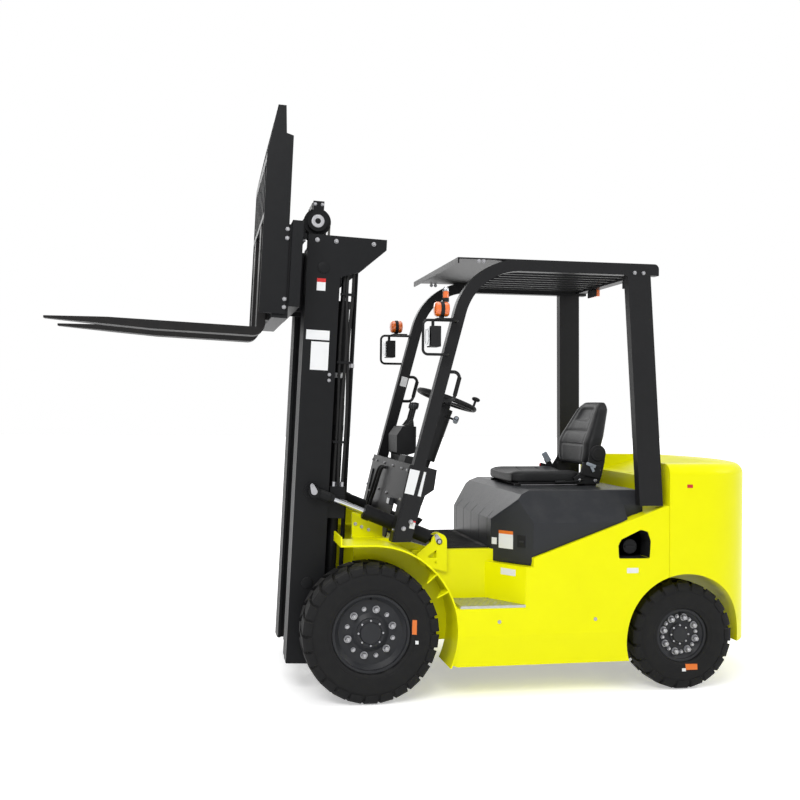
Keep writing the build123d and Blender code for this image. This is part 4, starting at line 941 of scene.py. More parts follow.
@dataclass
class Tyres(Part):
    """Four tyres with staggered lugs and ridged side walls.

    Args:
        wheels: Sizes of the front and rear wheels.
        steps: Segments round a tyre.
    """

    wheels: tuple[WheelSize, ...] = (FRONT_WHEEL, REAR_WHEEL)
    steps: int = 120

    def build(self) -> list[str]:
        """Makes the tyres.

        Returns:
            Their names.
        """
        done = []
        for wheel in self.wheels:
            for side in Side:
                done.append(self._tyre(wheel, side))
        return done

    def _tyre(self, wheel: WheelSize, side: Side) -> str:
        """Makes one tyre in place of its node.

        Args:
            wheel: Sizes of the wheel.
            side: Side of the truck.

        Returns:
            The tyre's name.
        """
        name = f"{wheel.name}_tyre_{side.label}"
        shape = Shape(f"{name}_shown", f"{wheel.name}_wheel_{side.label}", TYRE)
        origin = (wheel.x, side.sign * wheel.track / 2, wheel.height)
        shape.lathe(origin, (0.0, side.sign, 0.0), self._section(wheel), self.steps, closed=True)
        pitch = math.tau / wheel.lugs
        for index in range(wheel.lugs):
            for way, shift in ((1.0, 0.0), (-1.0, 0.5)):
                self._lug(
                    shape, origin, side.sign * way, (index + shift) * pitch, pitch * wheel.lug_run, wheel
                )
        if side is Side.LEFT:
            for finish, place, size in self._labels(wheel):
                shape.use(finish)
                self._label(shape, origin, wheel, place, size)
        shape.object(self.library, bevel=0.0, angle=28.0, replaces=(name,))
        return name

    def _section(self, wheel: WheelSize) -> list[tuple[float, float]]:
        """Section of the carcass, without lugs.

        Args:
            wheel: Sizes of the wheel.

        Returns:
            Points of distance from the middle and radius.
        """
        wall = wheel.height - wheel.rim
        half = wheel.half
        side = [
            (half * 0.78, wheel.rim + 0.001),
            (half * 0.90, wheel.rim + wall * 0.03),
            (half * 0.95, wheel.rim + wall * 0.10),
            (half * 0.965, wheel.rim + wall * 0.155),
            (half * 0.985, wheel.rim + wall * 0.165),
            (half * 1.005, wheel.rim + wall * 0.25),
            (half * 1.020, wheel.rim + wall * 0.36),
            (half * 1.030, wheel.rim + wall * 0.47),
            (half * 1.026, wheel.rim + wall * 0.58),
            (half * 1.000, wheel.rim + wall * 0.63),
            (half * 0.992, wheel.rim + wall * 0.66),
            (half * 0.960, wheel.rim + wall * 0.76),
            (half * 0.900, wheel.rim + wall * 0.86),
            (half * 0.640, wheel.rim + wall * 0.900),
            (half * 0.300, wheel.rim + wall * 0.910),
        ]
        return side + [(-along, radius) for along, radius in reversed(side)]

    def _lug(
        self, shape: Shape, origin: Point, way: float, angle: float, run: float, wheel: WheelSize
    ) -> None:
        """Adds one lug from the middle of the tread down the shoulder.

        Args:
            shape: The tyre.
            origin: Middle of the tyre.
            way: Sign of Y toward the lug's side wall.
            angle: Angle of the lug's outer end.
            run: Angle that the lug takes.
            wheel: Sizes of the wheel.
        """
        wall = wheel.height - wheel.rim
        half = wheel.half
        path = [
            (half * 0.03, wheel.height - 0.0005, wheel.rim + wall * 0.88, 0.42, 0.62),
            (half * 0.42, wheel.height, wheel.rim + wall * 0.88, 0.22, 0.84),
            (half * 0.86, wheel.height - 0.003, wheel.rim + wall * 0.82, 0.03, 1.0),
            (half * 0.965, wheel.height - 0.013, wheel.rim + wall * 0.78, 0.0, 1.0),
            (half * 1.028, wheel.rim + wall * 0.775, wheel.rim + wall * 0.735, 0.0, 1.0),
            (half * 1.020, wheel.rim + wall * 0.690, wheel.rim + wall * 0.685, 0.0, 0.96),
        ]
        rings = []
        for index, (along, outer, base, skew, share) in enumerate(path):
            centre = angle + skew * run * 1.1
            inner_along = along if index < 3 else half * 0.95
            ring = []
            for turn, radius, place in (
                (-0.5, outer, along),
                (0.5, outer, along),
                (0.56, base, inner_along),
                (-0.56, base, inner_along),
            ):
                at = centre + turn * run * share
                ring.append(
                    shape.mesh.verts.new(
                        (
                            origin[0] + radius * math.sin(at),
                            origin[1] + way * place,
                            origin[2] + radius * math.cos(at),
                        )
                    )
                )
            rings.append(ring)
        for one, two in zip(rings, rings[1:]):
            for index in range(4):
                after = (index + 1) % 4
                shape.face((one[index], one[after], two[after], two[index]))
        shape.face(rings[0][::-1])
        shape.face(rings[-1])

    def _labels(self, wheel: WheelSize) -> tuple[tuple[Finish, Pair, Pair], ...]:
        """Blank labels on the side wall that the photograph shows.

        Args:
            wheel: Sizes of the wheel.

        Returns:
            Finish, place and size of each label.
        """
        if wheel.name == "front":
            return (
                (ORANGE_FILM, (0.217, 0.032), (0.022, 0.074)),
                (WHITE_FILM, (0.229, -0.044), (0.016, 0.018)),
            )
        return (
            (ORANGE_FILM, (0.048, -0.166), (0.066, 0.030)),
            (WHITE_FILM, (0.004, -0.180), (0.022, 0.016)),
        )

    def _label(self, shape: Shape, origin: Point, wheel: WheelSize, place: Pair, size: Pair) -> None:
        """Adds one blank label that lies on the near side wall.

        Args:
            shape: The tyre.
            origin: Middle of the tyre.
            wheel: Sizes of the wheel.
            place: Its middle from the hub, rearward and upward.
            size: Its lengths rearward and upward.
        """
        wall = wheel.height - wheel.rim
        runs = 4
        grid = []
        for row in range(runs + 1):
            line = []
            for column in range(runs + 1):
                x = place[0] + size[0] * (column / runs - 0.5)
                z = place[1] + size[1] * (row / runs - 0.5)
                share = (math.hypot(x, z) - wheel.rim) / wall
                along = self._wall_at(share) * wheel.half + 0.0012
                line.append(shape.mesh.verts.new((origin[0] + x, origin[1] - along, origin[2] + z)))
            grid.append(line)
        for row in range(runs):
            for column in range(runs):
                shape.face(
                    (
                        grid[row][column],
                        grid[row][column + 1],
                        grid[row + 1][column + 1],
                        grid[row + 1][column],
                    )
                )

    def _wall_at(self, share: float) -> float:
        """Width of the side wall at a share of its height.

        Args:
            share: Share of the height above the rim.

        Returns:
            Share of half the width.
        """
        knots = (
            (0.0, 0.86),
            (0.10, 0.952),
            (0.155, 0.966),
            (0.17, 0.988),
            (0.25, 1.008),
            (0.36, 1.022),
            (0.6, 1.03),
        )
        for (low, wide), (high, wider) in zip(knots, knots[1:]):
            if share <= high:
                step = max(0.0, (share - low) / (high - low))
                return wide + (wider - wide) * step
        return knots[-1][1]


@dataclass
class WheelFaces(Part):
    """Nuts, hub caps and rings on the discs of the rims."""

    def build(self) -> list[str]:
        """Makes the details of the four rims.

        Returns:
            Their names.
        """
        done = []
        for wheel in (FRONT_WHEEL, REAR_WHEEL):
            for side in Side:
                done.append(self._face(wheel, side))
        return done

    def _face(self, wheel: WheelSize, side: Side) -> str:
        """Makes the nuts, the cap and the valve of one rim.

        Args:
            wheel: Sizes of the wheel.
            side: Side of the truck.

        Returns:
            Name of the object.
        """
        shape = Shape(f"{wheel.name}_nuts_{side.label}", f"{wheel.name}_wheel_{side.label}", ZINC)
        way = Vector((0.0, side.sign, 0.0))
        middle = Vector((wheel.x, side.sign * wheel.track / 2, wheel.height))
        disc = middle + way * wheel.face
        count, circle = wheel.bolts
        for index in range(count):
            for shift, flats, height, ring in ((0.0, 0.027, 0.020, 1.0), (0.5, 0.017, 0.010, 1.02)):
                angle = math.tau * (index + shift) / count + 0.26
                radius = circle * ring
                spot = disc + Vector((math.sin(angle) * radius, 0.0, math.cos(angle) * radius))
                if wheel.name == "rear" and shift:
                    flats, height = 0.015, 0.009
                shape.bolt(spot, way, flats, height)
                if not shift:
                    shape.rod(spot + way * height, spot + way * (height + 0.009), flats * 0.30, 12, 0.002)
        shape.use(RIM_GREY)
        hub = middle + way * (wheel.face + wheel.boss)
        cap = wheel.cap
        shape.lathe(
            hub,
            way,
            [
                (0.0, 0.0),
                (0.0, cap),
                (0.007, cap),
                (0.009, cap * 0.96),
                (0.009, cap * 0.80),
                (0.018, cap * 0.72),
                (0.021, cap * 0.60),
                (0.021, 0.0),
            ],
            48,
        )
        shape.use(ZINC)
        for index in range(8):
            angle = math.tau * index / 8
            spot = hub + way * 0.009 + Vector((math.sin(angle), 0.0, math.cos(angle))) * cap * 0.88
            shape.bolt(spot, way, 0.010, 0.005, washer=False)
        shape.use(RUBBER)
        valve = disc + Vector((0.0, 0.0, (wheel.rim - 0.030)))
        shape.rod(valve - way * 0.004, valve + way * 0.030, 0.004, 10, 0.001)
        shape.object(self.library, bevel=0.0, angle=SMALL_PIECE_ANGLE)
        return shape.name


@dataclass
class MastFittings(Part):
    """Bolts, keeper plates, blank plates, bands and hoses of the mast.

    Args:
        web: Distance of the outer rail's web from the middle.
    """

    web: float = MAST_HALF

    def build(self) -> list[str]:
        """Makes the fittings.

        Returns:
            Their names.
        """
        return [
            self._plates(),
            self._bolts(),
            self._keepers(),
            self._cylinder_bands(),
            self._rear_hoses(),
            self._chain_anchors(),
            self._fork_locks(),
            self._backrest_bolts(),
            self._carriage_fittings(),
            self._side_hoses(),
            self._crosshead_caps(),
            self._backrest_bars(),
        ]

    def _plates(self) -> str:
        """Blank plates on the near web, one with a red head.

        Returns:
            Name of the object.
        """
        shape = Shape("mast_blank_plates", "mast_outer", WHITE_FILM, Frame.MAST)
        y = -self.web - 0.0006
        for x0, x1, z0, z1 in ((-0.385, -0.262, 1.830, 1.880), (-0.356, -0.262, 1.672, 1.820)):
            shape.box(((x0 + x1) / 2, y, (z0 + z1) / 2), (x1 - x0, 0.0012, z1 - z0))
        shape.box((-0.320, y, 2.110), (0.046, 0.0012, 0.044))
        shape.use(RED_PAINT)
        shape.box((-0.320, y, 2.142), (0.046, 0.0014, 0.020))
        shape.object(self.library)
        return shape.name

    def _bolts(self) -> str:
        """Bolts of the axle hooks, the yoke and the roller stubs on both webs.

        Returns:
            Name of the object.
        """
        shape = Shape("mast_bolts", "mast_outer", ZINC, Frame.MAST)
        for side in Side:
            way = Vector((0.0, side.sign, 0.0))
            for x, z, flats in (
                (-0.252, 1.651, 0.013),
                (-0.252, 1.621, 0.013),
                (-0.352, 2.352, 0.017),
                (-0.252, 2.352, 0.017),
                (-0.052, 2.352, 0.017),
                (-0.310, 0.300, 0.024),
                (-0.310, 0.404, 0.024),
            ):
                shape.bolt((x, side.sign * self.web, z), way, flats, flats * 0.55)
            shape.use(MAST_PAINT)
            for z in (0.560, 2.210):
                spot = Vector((-0.311, side.sign * self.web, z))
                shape.lathe(spot, way, [(0, 0), (0, 0.030), (0.004, 0.030), (0.006, 0.026), (0.006, 0)], 32)
            shape.use(ZINC)
        for y in (-0.18, 0.18):
            shape.bolt((-0.148 + 0.016, y, 0.985), (1, 0, 0), 0.019, 0.011)
            shape.bolt((-0.148 + 0.016, y, 0.925), (1, 0, 0), 0.019, 0.011)
        shape.object(self.library, angle=SMALL_PIECE_ANGLE)
        return shape.name

    def _keepers(self) -> str:
        """Silver keeper plates on the front pins of the tilt cylinders.

        Returns:
            Name of the object.
        """
        shape = Shape("tilt_boss_keepers", "mast_outer", ZINC, Frame.MAST)
        for side in Side:
            y = side.sign * (0.382 + 0.032)
            low, high = sorted((y, y + side.sign * 0.004))
            outline = keeper_outline(-0.306, 1.041, 0.0165, 0.0105, 0.034, math.radians(112))
            shape.prism(outline, low, high)
            tip = (-0.306 + 0.034 * math.cos(math.radians(112)), y + side.sign * 0.004, 1.041 + 0.034 * 0.927)
            shape.bolt(tip, (0.0, side.sign, 0.0), 0.012, 0.007)
        shape.object(self.library, bevel=0.0006, angle=SMALL_PIECE_ANGLE)
        return shape.name

    def _cylinder_bands(self) -> str:
        """Head nuts, a white band, sleeves and clamps on the lift cylinders.

        Returns:
            Name of the object.
        """
        shape = Shape("lift_cylinder_bands", "mast_outer", MAST_PAINT, Frame.MAST)
        for side in Side:
            y = side.sign * 0.250
            shape.lathe((-0.180, y, 2.012), (0, 0, 1), ring_profile(0.0352, 0.0325, 0.016), 32, closed=True)
            for z in (0.60, 1.36):
                shape.lathe((-0.180, y, z), (0, 0, 1), ring_profile(0.0325, 0.0295, 0.030), 32, closed=True)
        shape.use(WHITE_FILM)
        shape.lathe((-0.180, -0.250, 1.640), (0, 0, 1), ring_profile(0.0308, 0.0295, 0.028), 32, closed=True)
        shape.use(HOSE)
        shape.lathe((-0.180, -0.250, 1.276), (0, 0, 1), ring_profile(0.0315, 0.0295, 0.220), 32, closed=True)
        shape.object(self.library, angle=SMALL_PIECE_ANGLE)
        return shape.name

    def _rear_hoses(self) -> str:
        """Unions and clips of the two pipes down the back of the mast.

        Returns:
            Name of the object.
        """
        shape = Shape("mast_pipe_unions", "mast_outer", ZINC, Frame.MAST)
        for y in (-0.200, -0.165):
            for z in (0.345, 0.960, 1.700, 2.325):
                shape.lathe((-0.112, y, z), (0, 0, 1), ring_profile(0.0125, 0.0088, 0.022), 6, closed=True)
        shape.use(HOSE)
        for y, reach in ((-0.200, 0.020), (-0.165, 0.0)):
            shape.tube(
                [
                    (-0.112, y, 0.345),
                    (-0.110, y, 0.290),
                    (-0.090, y + 0.02, 0.245),
                    (-0.098, y + 0.07, 0.225 + reach),
                    (-0.106, y + 0.13, 0.245 + reach),
                ],
                HOSE_RADIUS,
                12,
            )
        shape.object(self.library, angle=SMALL_PIECE_ANGLE)
        return shape.name

    def _chain_anchors(self) -> str:
        """Anchor nuts of the free lift chains on the carriage.

        Returns:
            Name of the object.
        """
        shape = Shape("chain_anchor_nuts", "carriage", ZINC, Frame.MAST)
        for y in (-0.090, 0.090):
            shape.rod((-0.398, y, 2.385), (-0.398, y, 2.3948), 0.007, 16)
            shape.bolt((-0.398, y, 2.395), (0, 0, -1), 0.018, 0.012)
        shape.object(self.library, angle=SMALL_PIECE_ANGLE)
        return shape.name

    def _fork_locks(self) -> str:
        """Locking pins on the heads of the forks.

        Returns:
            Name of the objects.
        """
        for side in Side:
            shape = Shape(f"fork_lock_{side.label}", f"fork_{side.label}", ZINC, Frame.MAST)
            y = side.sign * 0.250
            shape.rod((-0.624, y, 2.406), (-0.624, y, 2.4125), 0.011, 20, 0.001)
            shape.object(self.library, angle=SMALL_PIECE_ANGLE)
        return "fork_locks"

    def _backrest_bolts(self) -> str:
        """Bolts that hold the load backrest on the fork carriage.

        Returns:
            Name of the object.
        """
        shape = Shape("backrest_bolts", "side_shifter", ZINC, Frame.MAST)
        for side in Side:
            for x, z in ((-0.520, 2.372), (-0.520, 2.326), (-0.518, 2.016), (-0.518, 1.975)):
                shape.bolt((x, side.sign * 0.472, z), (0.0, side.sign, 0.0), 0.015, 0.009)
        shape.object(self.library, angle=SMALL_PIECE_ANGLE)
        return shape.name

    def _carriage_fittings(self) -> str:
        """Side shift cylinder between the bars of the carriage.

        Returns:
            Name of the object.
        """
        shape = Shape("side_shift_cylinder", "carriage", MAST_PAINT, Frame.MAST)
        shape.rod((-0.468, -0.118, 2.130), (-0.468, 0.118, 2.130), 0.024, 28, 0.002)
        shape.use(ZINC)
        for y in (-0.08, 0.08):
            shape.rod((-0.468, y, 2.152), (-0.468, y, 2.170), 0.008, 6)
        shape.object(self.library, angle=SMALL_PIECE_ANGLE)
        return shape.name

    def _side_hoses(self) -> str:
        """Hoses behind the webs of the outer rails, from the yoke to a block on the middle tie.

        Returns:
            Name of the object.
        """
        shape = Shape("mast_side_hoses", "mast_outer", HOSE, Frame.MAST)
        for side in Side:
            for x, y, sway in ((-0.196, 0.320, 0.004), (-0.172, 0.326, -0.006), (-0.150, 0.318, 0.005)):
                shape.tube(
                    [
                        (x, side.sign * y, 2.322),
                        (x + sway, side.sign * y, 2.10),
                        (x - sway, side.sign * (y - 0.002), 1.80),
                        (x + sway, side.sign * y, 1.45),
                        (x, side.sign * y, 1.065),
                    ],
                    HOSE_RADIUS,
                    10,
                )
            shape.use(MAST_PAINT)
            shape.box((-0.174, side.sign * 0.318, 1.042), (0.080, 0.034, 0.048))
            for z in (1.30, 1.72, 2.08):
                shape.box((-0.174, side.sign * 0.322, z), (0.074, 0.026, 0.012))
            shape.use(ZINC)
            for x in (-0.196, -0.172, -0.150):
                shape.lathe(
                    (x, side.sign * 0.320, 1.064),
                    (0, 0, 1),
                    ring_profile(0.0115, 0.0082, 0.026),
                    6,
                    closed=True,
                )
            shape.use(HOSE)
        shape.object(self.library, bevel=0.0, angle=34.0)
        return shape.name

    def _crosshead_caps(self) -> str:
        """Silver caps on the ends of the sheave pin, bolts and a clamp on the crosshead.

        Returns:
            Name of the object.
        """
        shape = Shape("crosshead_caps", "crosshead", ZINC, Frame.MAST)
        for side in Side:
            y = side.sign * 0.130
            shape.lathe(
                (-0.330, y - side.sign * 0.0015, 2.493),
                (0.0, side.sign, 0.0),
                [
                    (0, 0),
                    (0, 0.035),
                    (0.002, 0.0365),
                    (0.004, 0.035),
                    (0.0045, 0.030),
                    (0.0038, 0.010),
                    (0.0038, 0),
                ],
                40,
            )
            for x in (-0.350, -0.310):
                shape.bolt((x, y, 2.585), (0.0, side.sign, 0.0), 0.013, 0.007)
        shape.use(MAST_PAINT)
        for side in Side:
            y = side.sign * 0.1305
            low, high = sorted((y, y + side.sign * 0.002))
            ring = [(math.cos(math.tau * step / 40), math.sin(math.tau * step / 40)) for step in range(40)]
            shape.prism([(-0.330 + 0.056 * a, 2.493 + 0.056 * b) for a, b in ring], low, high)
        shape.object(self.library, bevel=0.0, angle=SMALL_PIECE_ANGLE)
        return shape.name

    def _backrest_bars(self) -> str:
        """Slim bars between the main bars of the load backrest.

        Returns:
            Name of the object.
        """
        shape = Shape("backrest_slim_bars", "side_shifter", MAST_PAINT, Frame.MAST)
        pitch = 0.920 / 7
        for index in range(7):
            y = -0.460 + pitch * (index + 0.5)
            shape.box((-0.630, y, 2.585), (0.018, 0.018, 0.310))
            shape.prism(
                [(-0.637, 2.745), (-0.604, 2.965), (-0.586, 2.965), (-0.619, 2.745)],
                y - 0.009,
                y + 0.009,
            )
        shape.object(self.library, bevel=0.0015, angle=SMALL_PIECE_ANGLE)
        return shape.name


def ring_profile(outer: float, inner: float, height: float) -> list[tuple[float, float]]:
    """Section of a plain ring.

    Args:
        outer: Its outer radius.
        inner: Its inner radius.
        height: Its height.

    Returns:
        Points of distance along the axis and radius.
    """
    edge = (outer - inner) * 0.25
    return [
        (0.0, inner),
        (0.0, outer - edge),
        (edge, outer),
        (height - edge, outer),
        (height, outer - edge),
        (height, inner),
    ]


def keeper_outline(
    x: float, z: float, big: float, small: float, reach: float, turn: float
) -> list[tuple[float, float]]:
    """Outline of a pear shaped plate with a big and a small round end.

    Args:
        x: Middle of the big end.
        z: Middle of the big end.
        big: Radius of the big end.
        small: Radius of the small end.
        reach: Distance between the two ends.
        turn: Direction of the small end, in radians.

    Returns:
        Points of the outline.
    """
    outline = []
    spread = math.acos((big - small) / reach)
    for middle, radius, start, stop in (
        ((x, z), big, turn + spread, turn + math.tau - spread),
        ((x + reach * math.cos(turn), z + reach * math.sin(turn)), small, turn - spread, turn + spread),
    ):
        for step in range(13):
            angle = start + (stop - start) * step / 12
            outline.append((middle[0] + radius * math.cos(angle), middle[1] + radius * math.sin(angle)))
    return outline


@dataclass
class RearLiftChains(Part):
    """Leaf chains beside the rods of the middle mast.

    Args:
        pitch: Distance between two pins.
        width: Width of a link plate.
    """

    pitch: float = 0.0185
    width: float = 0.0150

    def build(self) -> list[str]:
        """Makes the chains in place of their node.

        Returns:
            The node's name.
        """
        shape = Shape("lift_chains_shown", "mast_middle", CHAIN_STEEL, Frame.MAST)
        low, high = 2.070, 2.255
        for side in Side:
            inner = 0.273
            count = int((high - low) / self.pitch)
            step = (high - low - 0.004) / count
            for index in range(count):
                z = low + 0.002 + step * (index + 0.5)
                layers = (0.0013, 0.0060, 0.0107) if index % 2 else (0.0037, 0.0083)
                for layer in layers:
                    y = side.sign * (inner + layer)
                    shape.box(
                        (-0.180, y, z), (self.width, 0.0020, step * 1.72 if 0 < index < count - 1 else step)
                    )
                for end in (-0.5, 0.5):
                    spot = z + step * end
                    shape.rod(
                        (-0.180, side.sign * (inner + 0.0004), spot),
                        (-0.180, side.sign * (inner + 0.0116), spot),
                        0.0034,
                        10,
                    )
        shape.object(self.library, bevel=0.0006, angle=40.0, segments=1, replaces=("lift_chains",))
        return ["lift_chains"]


@dataclass
class TiltPins(Part):
    """Silver keeper plates of the rear pins of the tilt cylinders and the black yokes of their rods.

    Args:
        y: Distance of the cylinders from the middle of the truck.
        front: Place of the front pins, along and up.
        rear: Place of the rear pins, along and up.
    """

    y: float = 0.382
    front: tuple[float, float] = (-0.27565, 1.05369)
    rear: tuple[float, float] = (0.388, 0.788)

    def build(self) -> list[str]:
        """Makes the plates.

        Returns:
            Names of the objects.
        """
        shape = Shape("tilt_pin_keepers", "chassis", ZINC)
        for side in Side:
            y = side.sign * (0.382 + 0.024 + 0.012)
            low, high = sorted((y, y + side.sign * 0.004))
            shape.prism(keeper_outline(0.388, 0.788, 0.0165, 0.0100, 0.034, math.radians(118)), low, high)
            tip = (0.388 + 0.034 * math.cos(math.radians(118)), y + side.sign * 0.004, 0.788 + 0.034 * 0.883)
            shape.bolt(tip, (0.0, side.sign, 0.0), 0.012, 0.007)
            shape.rod(
                (
                    0.388, y + side.sign * 0.004, 0.788
                ), (0.388, y + side.sign * 0.009, 0.788), 0.0115, 24, 0.002
            )
        shape.object(self.library, bevel=0.0006, angle=SMALL_PIECE_ANGLE)
        return [shape.name, *(self._yoke(side) for side in Side)]

    def _yoke(self, side: Side) -> str:
        """Black yoke and clamp nut at the front end of one tilt rod.

        Args:
            side: Side of the truck.

        Returns:
            Name of the object.
        """
        shape = Shape(f"tilt_yoke_{side.label}", f"tilt_rod_{side.label}", MAST_PAINT)
        y = side.sign * self.y
        front = Vector((self.front[0], y, self.front[1]))
        way = (Vector((self.rear[0], y, self.rear[1])) - front).normalized()
        shape.lathe(
            front + way * 0.030,
            way,
            [(0, 0), (0, 0.024), (0.010, 0.0255), (0.062, 0.0255), (0.066, 0.0225), (0.082, 0.0225), (0.086, 0.019),
             (0.086, 0)],
            28,
        )
        for face in (-1.0, 1.0):
            start = front + Vector((0.0, face * 0.0242, 0.0))
            shape.lathe(start, (0.0, face, 0.0), ring_profile(0.0345, 0.0170, 0.0022), 36, closed=True)
        for index in range(36):
            one, two = math.tau * index / 36, math.tau * (index + 1) / 36
            corners = []
            for angle, across in ((one, -0.0245), (two, -0.0245), (two, 0.0245), (one, 0.0245)):
                offset = Vector((math.cos(angle) * 0.0348, across, math.sin(angle) * 0.0348))
                corners.append(shape.mesh.verts.new(front + offset))
            shape.face(corners)
        shape.object(self.library, bevel=0.0, angle=32.0)
        return shape.name


@dataclass
class Seat(Part):
    """Seat with a crowned cushion, a back with bolsters and its belt.

    Args:
        half: Half of the seat's width.
        around: Points round one section.
        front: Front of the cushion.
        length: Length of the cushion.
        cushion: Heights of the cushion's foot and top.
        back: Heights of the back's foot and top.
        shoulder: Half of the back's width at its top.
    """

    half: float = 0.240
    around: int = 56
    front: float = 0.850
    length: float = 0.410
    cushion: tuple[float, float] = (1.075, 1.149)
    back: tuple[float, float] = (1.173, 1.533)
    shoulder: float = 0.146

    def build(self) -> list[str]:
        """Makes the seat.

        Returns:
            Names of the pieces.
        """
        return [self._cushion(), self._back(), self._belt(), self._hinges(), self._slides()]

    def _loop(self, wide: float, deep: float, power: float = 5.0) -> list[tuple[float, float]]:
        """Rounded rectangle about zero.

        Args:
            wide: Half of its width.
            deep: Half of its depth.
            power: The higher, the squarer.

        Returns:
            Points round it.
        """
        points = []
        for index in range(self.around):
            angle = math.tau * index / self.around
            one, two = math.cos(angle), math.sin(angle)
            points.append(
                (
                    wide * math.copysign(abs(one) ** (2 / power), one),
                    deep * math.copysign(abs(two) ** (2 / power), two),
                )
            )
        return points

    def _loft(self, shape: Shape, rings: list[list[Vector]]) -> None:
        """Adds a skin over rings of points, closed at both ends.

        Args:
            shape: The piece.
            rings: Rings with the same count of points.
        """
        made = [[shape.mesh.verts.new(point) for point in ring] for ring in rings]
        for one, two in zip(made, made[1:]):
            for index in range(self.around):
                after = (index + 1) % self.around
                shape.face((one[index], one[after], two[after], two[index]))
        shape.face(made[0][::-1])
        shape.face(made[-1])

    def _cushion(self) -> str:
        """Cushion with a sunk middle, two cross seams and raised sides.

        Returns:
            Name of its node.
        """
        shape = Shape("seat_cushion_shown", "hood", VINYL)
        low, high = self.cushion
        rings = []
        for share in (0.0, 0.01, 0.03, 0.07, 0.14, 0.24, 0.33, 0.355, 0.37, 0.385, 0.41, 0.5, 0.6, 0.655, 0.67, 0.685,
                      0.71, 0.8, 0.9, 0.96, 0.99, 1.0):
            x = self.front + 0.001 + (self.length - 0.002) * share
            edge = min(share, 1.0 - share)
            swell = min(1.0, 0.52 + 0.48 * math.sqrt(min(1.0, edge / 0.10)))
            wide = (self.half - 0.002) * (0.90 + 0.10 * min(1.0, edge / 0.12))
            if share < 0.12:
                wide *= 0.94 + 0.06 * share / 0.12
            middle = (low + high) / 2 - 0.004
            ring = []
            for y, z in self._loop(wide, (high - low) / 2 * swell):
                height = middle + z
                if z > 0:
                    across = abs(y) / self.half
                    bolster = math.exp(-((across - 0.80) / 0.17) ** 2)
                    dip = 0.014 * (1.0 - min(1.0, across / 0.66) ** 4)
                    seam = 0.008 * (
                        math.exp(-((share - 0.37) / 0.012) ** 2) + math.exp(-((share - 0.67) / 0.012) ** 2)
                    )
                    seam *= 1.0 if across < 0.64 else 0.0
                    groove = 0.007 * math.exp(-((across - 0.66) / 0.025) ** 2)
                    height += 0.004 * bolster - (dip * swell + seam + groove) * (z / ((high - low) / 2))
                ring.append(Vector((x, y, height)))
            rings.append(ring)
        self._loft(shape, rings)
        made = shape.object(self.library, subdivide=1, angle=180.0, replaces=("seat_cushion",))
        return "seat_cushion"

    def _back_at(self, z: float) -> tuple[float, float, float]:
        """Front, rear and half of the width of the back at a height.

        Args:
            z: The height.

        Returns:
            X of the front and of the rear, and the half width.
        """
        foot, top = self.back
        bend = foot + (top - foot) * 0.38
        front_foot = self.front + self.length + 0.013
        if z < bend:
            share = (z - foot) / (bend - foot)
            front = front_foot + 0.006 * share
            rear = front_foot + 0.088 + 0.030 * share
        else:
            share = (z - bend) / (top - bend)
            front = front_foot + 0.006 + 0.113 * share
            rear = front_foot + 0.118 + 0.072 * share
        wide_low, wide_high = bend - 0.060, bend + 0.020
        if z < wide_low:
            half = self.half * (0.88 + 0.12 * (z - foot) / (wide_low - foot))
        elif z < wide_high:
            half = self.half
        else:
            half = self.half + (self.shoulder - self.half) * (z - wide_high) / (top - wide_high)
        return front, rear, half - 0.002

    def _back(self) -> str:
        """Back with side bolsters, two sewn channels and a square head panel.

        Returns:
            Name of its node.
        """
        shape = Shape("seat_back_shown", "hood", VINYL)
        low, high = self.back
        rings = []
        for share in (0.0, 0.01, 0.03, 0.07, 0.14, 0.22, 0.29, 0.31, 0.325, 0.34, 0.36, 0.43, 0.50, 0.52, 0.535, 0.55,
                      0.57, 0.63, 0.67, 0.69, 0.71, 0.76, 0.82, 0.87, 0.89, 0.91, 0.94, 0.97, 0.99, 1.0):
            z = low + (high - low) * share
            front, rear, half = self._back_at(z)
            edge_low = min(1.0, share / 0.07)
            edge_high = min(1.0, (1.0 - share) / 0.13)
            swell = 0.55 + 0.45 * math.sqrt(edge_low)
            swell *= math.sqrt(max(0.02, 1.0 - (1.0 - edge_high) ** 2)) if edge_high < 1.0 else 1.0
            wide = half * (0.92 + 0.08 * edge_low) * (0.84 + 0.16 * edge_high)
            middle = (front + rear) / 2
            deep = (rear - front) / 2
            ring = []
            for y, x in self._loop(wide, deep * swell, 4.6):
                place = middle + x
                if x < 0:
                    across = abs(y) / half
                    dip = 0.016 * (1.0 - min(1.0, across / 0.70) ** 4)
                    seam = 0.0
                    for at in (0.325, 0.535):
                        seam += 0.012 * math.exp(-((share - at) / 0.016) ** 2)
                    seam *= 1.0 if across < 0.66 else 0.0
                    groove = 0.010 * math.exp(-((across - 0.70) / 0.028) ** 2) * (1.0 if share < 0.90 else 0.0)
                    panel = 0.0
                    if 0.69 < share < 0.90 and across < 0.50:
                        panel = 0.012
                    place += (dip + seam + groove + panel) * (-x / deep) * min(1.0, edge_high + 0.2)
                ring.append(Vector((place, y, z)))
            rings.append(ring)
        self._loft(shape, rings)
        made = shape.object(self.library, subdivide=1, angle=180.0, replaces=("seat_back",))
        return "seat_back"

